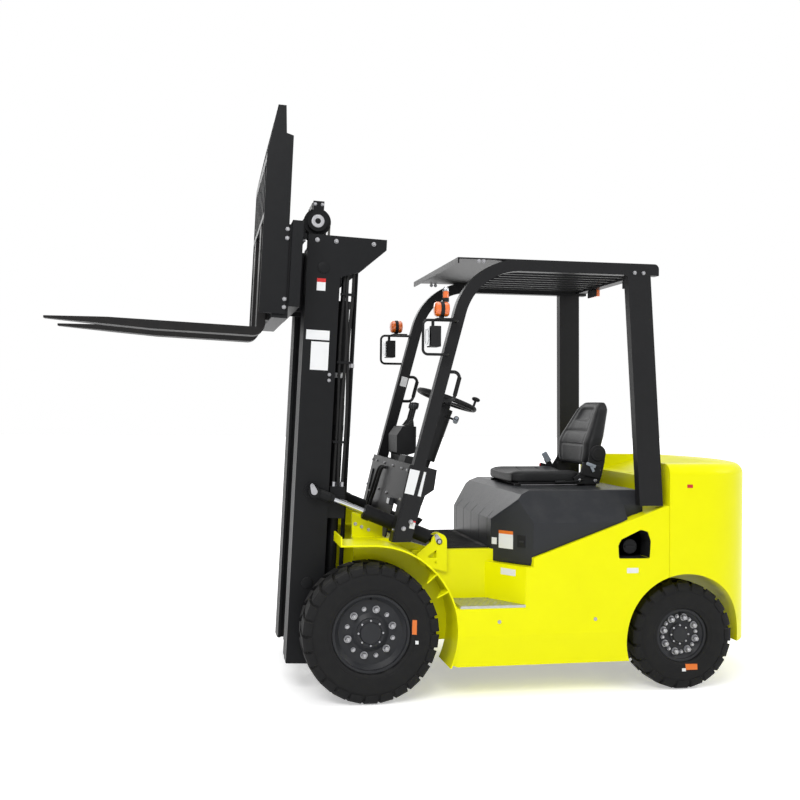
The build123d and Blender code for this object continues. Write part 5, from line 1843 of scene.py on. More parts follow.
    def _belt(self) -> str:
        """Buckles on both sides of the seat, the near one with a pale cover.

        Returns:
            Name of the object.
        """
        shape = Shape("seat_belt", "hood", MATTE_PLASTIC)
        lean = Matrix.Rotation(math.radians(-30), 3, "Y")
        shape.box((1.245, 0.246, 1.150), (0.034, 0.010, 0.090), lean)
        shape.box((1.222, 0.246, 1.142), (0.080, 0.014, 0.026), Matrix.Rotation(math.radians(14), 3, "Y"))
        shape.use(RED_PAINT)
        shape.box((1.184, 0.246, 1.152), (0.010, 0.013, 0.018), Matrix.Rotation(math.radians(14), 3, "Y"))
        shape.use(GREY_PLASTIC)
        shape.box((1.222, 0.247, 1.198), (0.036, 0.018, 0.062), lean, 0.90)
        shape.use(MATTE_PLASTIC)
        shape.box((1.300, -0.247, 1.150), (0.110, 0.022, 0.070), Matrix.Rotation(math.radians(12), 3, "Y"))
        shape.box((1.245, -0.246, 1.118), (0.090, 0.010, 0.030), lean)
        shape.use(GREY_PLASTIC)
        shape.box((1.298, -0.2600, 1.180), (0.058, 0.006, 0.018), Matrix.Rotation(math.radians(20), 3, "Y"))
        shape.box((1.306, -0.2600, 1.160), (0.016, 0.006, 0.040), Matrix.Rotation(math.radians(-24), 3, "Y"))
        shape.object(self.library, bevel=0.0025, angle=SMALL_PIECE_ANGLE)
        return shape.name

    def _hinges(self) -> str:
        """Recliner plates with their covers and bolts at the sides of the seat.

        Returns:
            Name of the object.
        """
        shape = Shape("seat_hinges", "hood", MATTE_PLASTIC)
        for side in Side:
            y = side.sign * 0.2365
            low, high = sorted((y, y + side.sign * 0.008))
            shape.prism(
                [(1.205, 1.074), (1.352, 1.074), (1.368, 1.120), (1.384, 1.190), (1.392, 1.250), (1.372, 1.285),
                 (1.330, 1.290), (1.300, 1.262), (1.288, 1.200), (1.262, 1.160), (1.222, 1.122)],
                low,
                high,
            )
            shape.lathe(
                (1.345, y, 1.245),
                (0.0, side.sign, 0.0),
                [
                    (0, 0),
                    (0, 0.046),
                    (0.010, 0.046),
                    (0.014, 0.042),
                    (0.014, 0.030),
                    (0.016, 0.028),
                    (0.016, 0),
                ],
                40,
            )
            shape.use(ZINC)
            for x, z in ((1.330, 1.092), (1.352, 1.150), (1.235, 1.096)):
                shape.bolt((x, y + side.sign * 0.008, z), (0.0, side.sign, 0.0), 0.014, 0.007)
            shape.use(MATTE_PLASTIC)
        shape.rod((1.150, -0.2500, 1.086), (1.090, -0.2500, 1.084), 0.0085, 16, 0.003)
        shape.tube([(1.260, -0.247, 1.100), (1.220, -0.250, 1.090), (1.150, -0.250, 1.086)], 0.0045, 10)
        shape.object(self.library, bevel=0.0012, angle=SMALL_PIECE_ANGLE)
        return shape.name

    def _slides(self) -> str:
        """Rails under the cushion, with zinc strips along them.

        Returns:
            Name of the object.
        """
        shape = Shape("seat_slides", "hood", MATTE_PLASTIC)
        for side in Side:
            y = side.sign * 0.218
            shape.box((1.065, y, 1.0685), (0.400, 0.014, 0.012))
            shape.box((1.075, side.sign * 0.227, 1.078), (0.380, 0.012, 0.010))
        shape.use(ZINC)
        for side in Side:
            shape.box((1.065, side.sign * 0.2262, 1.0680), (0.330, 0.003, 0.005))
        shape.object(self.library, bevel=0.0008, angle=SMALL_PIECE_ANGLE)
        return shape.name


@dataclass
class Controls(Part):
    """Steering wheel, column, levers and pedals.

    Args:
        hub: Middle of the steering wheel.
        lean: Angle of its axis to the rear.
        radius: Outer radius of its ring.
        grip: Radius of the ring's section.
    """

    hub: tuple[float, float, float] = (0.530, 0.0, 1.537)
    lean: float = math.radians(20.0)
    radius: float = 0.1795
    grip: float = 0.0140

    def build(self) -> list[str]:
        """Makes the controls.

        Returns:
            Names of the pieces.
        """
        return [self._wheel(), self._levers(), self._direction(), self._pedals(), self._panel()]

    def _wheel(self) -> str:
        """Steering wheel with three spokes, a horn button and a knob.

        Returns:
            Name of its node.
        """
        shape = Shape("steering_wheel_shown", "steering_wheel", MATTE_PLASTIC)
        hub = Vector(self.hub)
        up = Vector((math.sin(self.lean), 0.0, math.cos(self.lean)))
        ring = self.radius - self.grip
        around = []
        for step in range(12):
            angle = math.tau * step / 12
            around.append((self.grip * math.sin(angle), ring + self.grip * math.cos(angle)))
        shape.lathe(hub, up, around, 72, closed=True)
        shape.lathe(
            hub - up * 0.0285,
            up,
            [
                (0, 0),
                (0, 0.031),
                (0.004, 0.0318),
                (0.024, 0.0318),
                (0.028, 0.029),
                (0.030, 0.024),
                (0.0325, 0.020),
                (0.0335, 0),
            ],
            40,
        )
        front = Vector((math.cos(self.lean), 0.0, -math.sin(self.lean)))
        side = Vector((0.0, 1.0, 0.0))
        for index in range(3):
            angle = math.radians(120 * index)
            way = front * math.cos(angle) + side * math.sin(angle)
            across = up.cross(way)
            turn = Matrix((way, across, up)).transposed()
            shape.box(hub + way * ring * 0.52 - up * 0.008, (ring * 0.96, 0.026, 0.0085), turn)
        angle = math.radians(-35)
        spot = hub + (front * math.cos(angle) + side * math.sin(angle)) * ring
        shape.rod(spot + up * 0.004, spot + up * 0.046, 0.007, 16)
        shape.lathe(
            spot + up * 0.043,
            up,
            [
                (0, 0),
                (0, 0.016),
                (0.004, 0.0215),
                (0.010, 0.0240),
                (0.016, 0.0225),
                (0.020, 0.0165),
                (0.0225, 0.007),
                (0.023, 0),
            ],
            28,
        )
        shape.object(self.library, bevel=0.0015, angle=34.0, replaces=("steering_wheel",))
        return "steering_wheel"

    def _levers(self) -> str:
        """Boots and knobs of the three hydraulic levers.

        Returns:
            Name of the object.
        """
        shape = Shape("lever_boots", "chassis", RUBBER)
        for index in range(3):
            y = 0.200 + 0.060 * index
            base = Vector((0.362, y, 1.380))
            way = Vector((0.030, 0.0, 0.110)).normalized()
            profile = [(0.0, 0.0), (0.0, 0.026)]
            for fold in range(4):
                at = 0.004 + fold * 0.009
                wide = 0.024 - fold * 0.0035
                profile += [(at, wide), (at + 0.0045, wide - 0.004)]
            profile += [(0.042, 0.0075), (0.042, 0.0)]
            shape.lathe(base, way, profile, 28)
        shape.use(HOOD_PLASTIC)
        for index in range(3):
            y = 0.200 + 0.060 * index
            shape.lathe(
                (0.3895, y, 1.482),
                Vector((0.010, 0.0, 0.036)),
                [
                    (0, 0),
                    (0, 0.0085),
                    (0.006, 0.0145),
                    (0.016, 0.0172),
                    (0.028, 0.0166),
                    (0.036, 0.0120),
                    (0.0395, 0.005),
                    (0.040, 0),
                ],
                28,
            )
        shape.object(self.library, bevel=0.0, angle=40.0)
        return shape.name

    def _direction(self) -> str:
        """Direction lever's handle, clamp and the shroud's seams.

        Returns:
            Name of the object.
        """
        shape = Shape("direction_lever_handle", "chassis", GREY_PLASTIC)
        hub = Vector(self.hub)
        up = Vector((math.sin(self.lean), 0.0, math.cos(self.lean)))
        shape.lathe(
            (0.5435, -0.138, 1.4135),
            Vector((0.0, -0.8, 0.6)),
            [
                (0, 0),
                (0, 0.0100),
                (0.006, 0.0145),
                (0.018, 0.0158),
                (0.032, 0.0150),
                (0.038, 0.0100),
                (0.040, 0.0),
            ],
            28,
        )
        shape.use(MATTE_PLASTIC)
        for at in (0.060, 0.200, 0.345):
            shape.lathe(hub - up * at, -up, ring_profile(0.0555, 0.0530, 0.006), 40, closed=True)
        shape.rod(
            hub - up * 0.110 + Vector((0, 0.050, 0)),
            hub - up * 0.110 + Vector((0, 0.064, 0)),
            0.012,
            24,
            0.002,
        )
        shape.use(ZINC)
        shape.rod(
            hub - up * 0.110 + Vector((0, 0.062, 0)),
            hub - up * 0.110 + Vector((0, 0.070, 0)),
            0.008,
            20,
            0.001,
        )
        shape.object(self.library, bevel=0.0, angle=36.0)
        return shape.name

    def _pedals(self) -> str:
        """Ribbed rubber pads on the pedals.

        Returns:
            Name of the object.
        """
        shape = Shape("pedal_pads", "chassis", RUBBER)
        turn = Matrix.Rotation(math.radians(-50), 3, "Y")
        for y, wide in ((0.200, 0.056), (0.110, 0.086), (-0.110, 0.066)):
            middle = Vector((0.330, y, 0.840))
            for index in range(6):
                offset = turn @ Vector((0.072 * (index / 5 - 0.5), 0.0, 0.0062))
                shape.box(middle + offset, (0.006, wide, 0.0028), turn)
        shape.object(self.library, bevel=0.0006, angle=SMALL_PIECE_ANGLE)
        return shape.name

    def _panel(self) -> str:
        """Plain instrument housing on the dash, with a key switch.

        Returns:
            Name of the object.
        """
        shape = Shape("instrument_housing", "chassis", MATTE_PLASTIC)
        turn = Matrix.Rotation(math.radians(11), 3, "Y")
        shape.box((0.280, -0.170, 1.204), (0.096, 0.170, 0.040), turn, 0.9)
        shape.use(CLEAR)
        shape.box((0.283, -0.170, 1.2245), (0.066, 0.120, 0.002), turn)
        shape.use(ZINC)
        shape.rod((0.300, -0.290, 1.180), (0.302, -0.290, 1.196), 0.011, 24, 0.002)
        shape.object(self.library, bevel=0.004, angle=SMALL_PIECE_ANGLE)
        return shape.name


@dataclass
class Lamps(Part):
    """Work lamps, direction lamps, a marker lamp and rear lamps.

    Args:
        x: Place of the work lamp's middle.
        y: Distance of the lamps from the middle of the truck.
        z: Height of the work lamp's middle.
    """

    x: float = 0.304
    y: float = 0.578
    z: float = 1.855

    def build(self) -> list[str]:
        """Makes the lamps in place of their nodes.

        Returns:
            Names of the nodes.
        """
        self._work_lamps()
        self._signals()
        self._marker()
        self._rear()
        return ["work_lamps", "turn_signals", "marker_lamp", "rear_lamps"]

    def _work_lamps(self) -> None:
        """Black housings with a chrome bowl behind a clear lens."""
        shape = Shape("work_lamps_shown", "chassis", MATTE_PLASTIC)
        for side in Side:
            y = side.sign * self.y
            shape.box((self.x + 0.010, y, self.z), (0.045, 0.095, 0.105))
            shape.box((self.x - 0.0145, y, self.z), (0.010, 0.0955, 0.1055))
            for index in range(4):
                shape.box((self.x + 0.0325 - 0.003, y, self.z - 0.03 + 0.02 * index), (0.006, 0.070, 0.005))
            shape.use(CHROME)
            bowl = [
                (0.0, 0.0), (0.0, 0.012), (0.006, 0.026), (0.011, 0.037), (0.0135, 0.041), (0.011, 0.0435)
            ]
            shape.lathe((self.x - 0.0195, y, self.z), (-1, 0, 0), bowl, 36)
            shape.use(CLEAR)
            shape.box((self.x - 0.0285, y, self.z), (0.005, 0.086, 0.096))
            shape.use(MATTE_PLASTIC)
        shape.object(self.library, bevel=0.005, angle=34.0, replaces=("work_lamps",))

    def _signals(self) -> None:
        """Drum shaped direction lamps with amber lenses at both ends of a black band."""
        shape = Shape("turn_signals_shown", "chassis", MATTE_PLASTIC)
        x, z, radius = 0.349, 1.996, 0.0385
        lens = [
            (0.0, 0.0), (0.0, 0.96), (0.012, 1.0), (0.020, 0.97), (0.026, 0.84), (0.029, 0.50), (0.030, 0.0)
        ]
        for side in Side:
            y = side.sign * self.y
            shape.lathe(
                (x - 0.0100, y, z),
                (1, 0, 0),
                [
                    (0, 0),
                    (0, radius),
                    (0.002, radius + 0.0022),
                    (0.018, radius + 0.0022),
                    (0.020, radius),
                    (0.020, 0),
                ],
                44,
            )
            shape.box((x, y, z - 0.038), (0.020, 0.030, 0.016))
            shape.use(AMBER)
            for way in (-1.0, 1.0):
                profile = [(along, share * radius) for along, share in lens]
                shape.lathe((x + way * 0.0095, y, z), (way, 0, 0), profile, 44)
            shape.use(MATTE_PLASTIC)
        shape.object(self.library, bevel=0.0, angle=30.0, replaces=("turn_signals",))

    def _marker(self) -> None:
        """Small amber lamp with a bright cap over the near direction lamp."""
        shape = Shape("marker_lamp_shown", "chassis", MATTE_PLASTIC)
        x, y, z = 0.373, -0.568, 2.036
        shape.lathe(
            (x, y, z), (0, 0, 1), [(0, 0), (0, 0.0168), (0.018, 0.0168), (0.020, 0.0150), (0.020, 0)], 32
        )
        shape.use(AMBER)
        shape.lathe(
            (x, y, z + 0.020),
            (0, 0, 1),
            [(0, 0), (0, 0.0150), (0.032, 0.0150), (0.034, 0.013), (0.034, 0)],
            32,
        )
        shape.use(CHROME)
        shape.lathe(
            (x, y, z + 0.054),
            (0, 0, 1),
            [(0, 0), (0, 0.0160), (0.010, 0.0160), (0.018, 0.0140), (0.0245, 0.008), (0.0262, 0)],
            32,
        )
        shape.object(self.library, bevel=0.0, angle=36.0, replaces=("marker_lamp",))

    def _rear(self) -> None:
        """Red and amber rear lamps in black housings."""
        shape = Shape("rear_lamps_shown", "chassis", MATTE_PLASTIC)
        for side in Side:
            y = side.sign * 0.250
            shape.box((1.510, y, 2.202), (0.011, 0.119, 0.045))
            shape.use(RED_LENS)
            shape.box((1.5265, y + side.sign * 0.029, 2.202), (0.022, 0.058, 0.042))
            shape.use(AMBER)
            shape.box((1.5265, y - side.sign * 0.030, 2.202), (0.022, 0.056, 0.042))
            shape.use(MATTE_PLASTIC)
        shape.object(self.library, bevel=0.004, angle=34.0, replaces=("rear_lamps",))


@dataclass
class BodyFittings(Part):
    """Blank labels, bolts, the filler's liner, step pattern and other fittings of the body."""

    def build(self) -> list[str]:
        """Makes the fittings.

        Returns:
            Their names.
        """
        return [
            self._filler(),
            self._step_pattern(),
            self._labels(),
            self._hood_fittings(),
            self._dash_fittings(),
            self._stand_bolts(),
            self._guard_bolts(),
            self._counterweight_fittings(),
            self._mat_ribs(),
            self._grab_pads(),
        ]

    def _filler(self) -> str:
        """Black liner of the filler pocket and the grip of its cap.

        Returns:
            Name of the object.
        """
        shape = Shape("filler_liner", "chassis", MATTE_PLASTIC)
        outline = [
            (
                1.3095, 0.7135
            ), (1.3060, 0.780), (1.3085, 0.792), (1.3150, 0.802), (1.3290, 0.8130), (1.4220, 0.8575),
            (
                1.4360, 0.8585
            ), (1.4600, 0.8510), (1.4690, 0.8430), (1.4840, 0.8040), (1.4845, 0.792), (1.4795, 0.7115),
        ]
        middle = (1.395, 0.785)
        loops = []
        for y, scale in ((-0.6122, 1.0), (-0.5040, 1.0), (-0.5040, 0.98), (-0.6122, 0.985)):
            loop = []
            for x, z in outline:
                loop.append(
                    shape.mesh.verts.new((middle[0] + (x - middle[0]) * scale, y, middle[1] + (z - middle[1]) * scale))
                )
            loops.append(loop)
        for one, two in ((loops[0], loops[1]), (loops[2], loops[3]), (loops[3], loops[0])):
            for index in range(len(outline)):
                after = (index + 1) % len(outline)
                shape.face((one[index], one[after], two[after], two[index]))
        shape.face(loops[1][::-1])
        shape.face(loops[2])
        for index in range(10):
            angle = math.tau * index / 10
            spot = Vector((1.392 + 0.0345 * math.cos(angle), -0.5475, 0.768 + 0.0345 * math.sin(angle)))
            shape.box(spot, (0.009, 0.029, 0.009), Matrix.Rotation(-angle, 3, "Y"))
        shape.box((1.392, -0.5645, 0.768), (0.056, 0.006, 0.012))
        shape.object(self.library, bevel=0.001, angle=40.0)
        return shape.name

    def _step_pattern(self) -> str:
        """Raised bars on both steps.

        Returns:
            Name of the object.
        """
        shape = Shape("step_pattern", "chassis", GALVANISED)
        pitch = 0.030
        for side in Side:
            for row in range(7):
                for column in range(10):
                    x = 0.485 + column * pitch + (row % 2) * pitch * 0.5
                    y = 0.412 + row * pitch
                    reach = 0.645 + (y - 0.395) / 0.217 * 0.155 - 0.018
                    if x > reach:
                        continue
                    turn = Matrix.Rotation(math.radians(45 if (row + column) % 2 else -45), 3, "Z")
                    shape.box((x, side.sign * y, 0.4848), (0.0200, 0.0045, 0.0022), turn, 0.75)
        shape.object(self.library, bevel=0.0)
        return shape.name

    def _patch(self, shape: Shape, corners: Points, finish: Finish) -> None:
        """Adds a thin blank label.

        Args:
            shape: The piece.
            corners: Its four corners, seen from outside, in order.
            finish: Its finish.
        """
        shape.use(finish)
        points = [Vector(corner) for corner in corners]
        normal = (points[1] - points[0]).cross(points[2] - points[0]).normalized()
        if normal.y > 0:
            normal = -normal
        low = [shape.mesh.verts.new(point - normal * 0.0004) for point in points]
        high = [shape.mesh.verts.new(point + normal * 0.0006) for point in points]
        shape.face(low[::-1])
        shape.face(high)
        for index in range(4):
            after = (index + 1) % 4
            shape.face((low[index], low[after], high[after], high[index]))

    def _labels(self) -> str:
        """Blank labels on the near side, where the photograph shows labels.

        Returns:
            Name of the object.
        """
        shape = Shape("blank_labels", "chassis", WHITE_FILM)
        flank = -0.5202
        self._patch(
            shape,
            ((0.222, flank, 1.176), (0.290, flank, 1.160), (0.262, flank, 1.034), (0.194, flank, 1.052)),
            WHITE_FILM,
        )
        outer = -GUARD_HALF - 0.0003
        self._patch(
            shape,
            ((0.205, outer, 1.178), (0.2560, outer, 1.167), (0.2240, outer, 1.043), (0.176, outer, 1.054)),
            WHITE_FILM,
        )
        self._patch(
            shape,
            ((0.183, flank, 0.912), (0.236, flank, 0.900), (0.229, flank, 0.868), (0.174, flank, 0.880)),
            WHITE_FILM,
        )
        self._patch(
            shape,
            ((0.185, flank, 0.920), (0.238, flank, 0.908), (0.236, flank, 0.900), (0.183, flank, 0.912)),
            RED_PAINT,
        )

        def wall(x: float, z: float) -> Point:
            """Point just off the slanted wall of the step recess."""
            return (x - 0.0006, -(0.395 + (x - 0.645) / 0.155 * 0.217) - 0.0004, z)

        def flat(x: float, z: float) -> Point:
            """Point just off the flat side of the body."""
            return (x, -BODY_HALF - 0.0002, z)

        for place, finish, left, right, top, low in (
            (wall, WHITE_FILM, 0.707, 0.762, 0.656, 0.622),
            (flat, WHITE_FILM, 1.353, 1.417, 0.662, 0.635),
            (flat, RED_PAINT, 1.690, 1.722, 1.098, 1.080),
        ):
            self._patch(shape, rectangle(place, left, right, top, low), finish)
        shape.object(self.library)
        return shape.name

    def _hood_fittings(self) -> str:
        """Blank labels and the latch on the near corner of the hood.

        Returns:
            Name of the object.
        """
        shape = Shape("hood_labels_and_latch", "hood", WHITE_FILM)

        def corner(x: float, z: float) -> Point:
            """Point just off the slanted corner of the hood."""
            return (x, -(0.383 + (x - 0.680) / 0.167 * 0.207) - 0.0012, z)

        for finish, left, right, top, low in (
            (WHITE_FILM, 0.712, 0.768, 0.828, 0.752),
            (ORANGE_FILM, 0.712, 0.768, 0.846, 0.828),
            (WHITE_FILM, 0.684, 0.704, 0.804, 0.768),
        ):
            self._patch(shape, rectangle(corner, left, right, top, low), finish)
        turn = Matrix.Rotation(-math.atan2(0.207, 0.167), 3, "Z")
        shape.use(MATTE_PLASTIC)
        shape.box(Vector(corner(0.800, 0.798)), (0.048, 0.005, 0.062), turn)
        shape.use(RIM_GREY)
        shape.box(Vector(corner(0.803, 0.798)), (0.030, 0.012, 0.008), turn)
        shape.object(self.library, bevel=0.0008, angle=SMALL_PIECE_ANGLE)
        return shape.name

    def _dash_fittings(self) -> str:
        """Bolts, two hoses, a strap and a bracket on the front of the dash.

        Returns:
            Name of the object.
        """
        shape = Shape("dash_fittings", "chassis", ZINC)
        slope = (0.204 - 0.119) / (1.200 - 0.830)

        def front(y: float, z: float, out: float = 0.0) -> Vector:
            """Point on the leaning front of the dash, or ahead of it."""
            return Vector((0.119 + (z - 0.830) * slope - out, y, z))

        way = (-1.0, 0.0, slope)
        for y in (-0.495, -0.360, -0.120, 0.120, 0.360, 0.495):
            for z in (1.170, 1.020, 0.862):
                if z > 1.1 or abs(y) > 0.40 or abs(y) < 0.2:
                    shape.bolt(front(y, z), way, 0.013, 0.007)
        shape.use(RIM_GREY)
        lean = Matrix.Rotation(math.atan(slope), 3, "Y")
        shape.box(front(0.415, 1.057, 0.006), (0.008, 0.028, 0.130), lean)
        shape.box(front(-0.300, 0.994, 0.012), (0.022, 0.075, 0.038), lean)
        shape.use(WHITE_FILM)
        shape.box(front(-0.300, 0.994, 0.024), (0.0015, 0.060, 0.028), lean)
        shape.use(HOSE)
        shape.tube(
            [front(0.10, 1.150, 0.004), front(0.11, 1.140, 0.030), front(0.15, 1.02, 0.034), front(0.19, 0.93, 0.030),
             front(0.20, 0.90, 0.006)],
            0.009,
        )
        shape.tube(
            [front(0.05, 1.150, 0.004), front(0.06, 1.138, 0.026), front(0.09, 1.02, 0.030), front(0.14, 0.93, 0.028),
             front(0.155, 0.90, 0.006)],
            0.009,
        )
        shape.object(self.library, bevel=0.0008, angle=32.0)
        return shape.name

    def _stand_bolts(self) -> str:
        """Bolts of the yellow stands, the fender deck and the sill.

        Returns:
            Name of the object.
        """
        shape = Shape("body_bolts", "chassis", ZINC)
        for side in Side:
            for x, z in ((-0.042, 0.872), (-0.008, 0.856), (0.030, 0.840)):
                shape.bolt((x, side.sign * 0.300, z), (0.0, side.sign, 0.0), 0.013, 0.007)
            for x in (0.500, 0.575, 0.650):
                shape.bolt((x, side.sign * 0.430, 0.484), (0, 0, 1), 0.010, 0.004, washer=False)
            for x, z in ((0.660, 0.400), (1.180, 0.400)):
                shape.lathe(
                    (x, side.sign * BODY_HALF, z),
                    (0.0, side.sign, 0.0),
                    [(0, 0), (0, 0.010), (0.0015, 0.0095), (0.002, 0.007), (0.002, 0)],
                    20,
                )
        shape.object(self.library, angle=SMALL_PIECE_ANGLE)
        return shape.name

    def _guard_bolts(self) -> str:
        """Bolts at the feet and the head of the overhead guard and a blank label.

        Returns:
            Name of the object.
        """
        shape = Shape("guard_bolts", "chassis", ZINC)
        for side in Side:
            for x in (0.168, 0.206):
                spot = (x + 0.005, side.sign * GUARD_HALF, 0.872 + (x - 0.168) * 0.9)
                shape.bolt(spot, (0.0, side.sign, 0.0), 0.017, 0.010)
            for x, z in ((1.425, 2.225), (1.475, 2.225), (0.560, 2.2575), (0.586, 2.2575)):
                shape.bolt((x, side.sign * GUARD_HALF, z), (0.0, side.sign, 0.0), 0.015, 0.008)
        shape.use(WHITE_FILM)
        shape.box(
            (0.379, GUARD_HALF - 0.0525, 1.650), (0.040, 0.001, 0.060), Matrix.Rotation(GUARD_LEAN, 3, "Y")
        )
        shape.object(self.library, angle=SMALL_PIECE_ANGLE)
        return shape.name

    def _counterweight_fittings(self) -> str:
        """Tow pin with its ring and the mesh of the grille.

        Returns:
            Name of the object.
        """
        shape = Shape("counterweight_fittings", "chassis", ZINC)
        shape.rod((2.165, 0.0, 0.300), (2.165, 0.0, 0.540), 0.0150, 28, 0.003)
        shape.lathe(
            (2.165, 0.0, 0.5355),
            (0, 0, 1),
            [(0, 0), (0, 0.024), (0.010, 0.024), (0.012, 0.020), (0.012, 0)],
            28,
        )
        shape.use(BLACK_PAINT)
        for index in range(14):
            y = -0.2425 + 0.485 * index / 13
            shape.rod((1.984, y, 0.705), (1.984, y, 1.035), 0.0022, 8)
        for index in range(10):
            z = 0.715 + 0.31 * index / 9
            shape.rod((1.9805, -0.255, z), (1.9805, 0.255, z), 0.0022, 8)
        shape.object(self.library, angle=SMALL_PIECE_ANGLE)
        return shape.name

    def _mat_ribs(self) -> str:
        """Ribs of the floor mat.

        Returns:
            Name of the object.
        """
        shape = Shape("mat_ribs", "chassis", RUBBER)
        for index in range(30):
            y = -0.335 + 0.670 * index / 29
            shape.box((0.515, y, 0.7508), (0.290, 0.006, 0.0024), taper=0.8)
        shape.object(self.library, bevel=0.0)
        return shape.name

    def _grab_pads(self) -> str:
        """Grip sleeves on the two entry handles.

        Returns:
            Name of the object.
        """
        shape = Shape("handle_grips", "chassis", RUBBER)
        for side in Side:
            y = side.sign * (GUARD_HALF - 0.026)
            low, high = 1.556, 1.654
            foot = (post_front(low) + 0.062, y, low)
            head = (post_front(high) + 0.062, y, high)
            shape.rod(foot, head, 0.0112, 20, 0.002)
        shape.object(self.library, angle=SMALL_PIECE_ANGLE)
        return shape.name


def post_front(z: float) -> float:
    """Rear edge of a front post at a height, in the drawing frame of the truck.

    Args:
        z: The height.

    Returns:
        X of the edge.
    """
    bend_x = 0.790 - 0.305 * math.cos(GUARD_LEAN)
    bend_z = 2.275 - 0.367 + 0.305 * math.sin(GUARD_LEAN)
    return bend_x - (bend_z - z) * math.tan(GUARD_LEAN)




@dataclass(frozen=True)
class PhotoView:
    """Camera that stands where the photograph was taken.

    Args:
        place: Place of the lens, in the drawing frame of the truck.
        yaw: Turn toward the rear of the truck, in radians.
        pitch: Turn upward, in radians.
        roll: Turn of the picture, in radians.
        focal_pixels: Focal length in pixels of the picture.
        center: Pixel that the lens looks at.
        picture: Width of the picture in pixels.
    """

    place: tuple[float, float, float] = (-0.8638, -5.3720, 1.5005)
    yaw: float = 0.1738
    pitch: float = 0.005
    roll: float = 0.0096
    focal_pixels: float = 966.5
    center: tuple[float, float] = (369.14, 400.81)
    picture: float = 800.0

    def build(self) -> bpy.types.Object:
        """Makes the camera.

        Returns:
            The camera's object.
        """
        data = bpy.data.cameras.new("photo_camera")
        data.sensor_width = 36.0
        data.lens = self.focal_pixels * data.sensor_width / self.picture
        data.shift_x = (self.picture / 2 - self.center[0]) / self.picture
        data.shift_y = (self.center[1] - self.picture / 2) / self.picture
        data.clip_end = 60.0
        forward = Vector(
            (
                math.sin(self.yaw) * math.cos(self.pitch),
                math.cos(self.yaw) * math.cos(self.pitch),
                math.sin(self.pitch),
            )
        )
        right = Vector((math.cos(self.yaw), -math.sin(self.yaw), 0.0))
        up = right.cross(forward)
        turned_right = right * math.cos(self.roll) + up * math.sin(self.roll)
        turned_up = up * math.cos(self.roll) - right * math.sin(self.roll)
        camera = bpy.data.objects.new("photo_camera", data)
        bpy.context.scene.collection.objects.link(camera)
        turn = Matrix((turned_right, turned_up, -forward)).transposed().to_4x4()
        camera.matrix_world = Matrix.Translation(drawing_matrix(Frame.TRUCK) @ Vector(self.place)) @ turn
        bpy.context.scene.camera = camera
        return camera


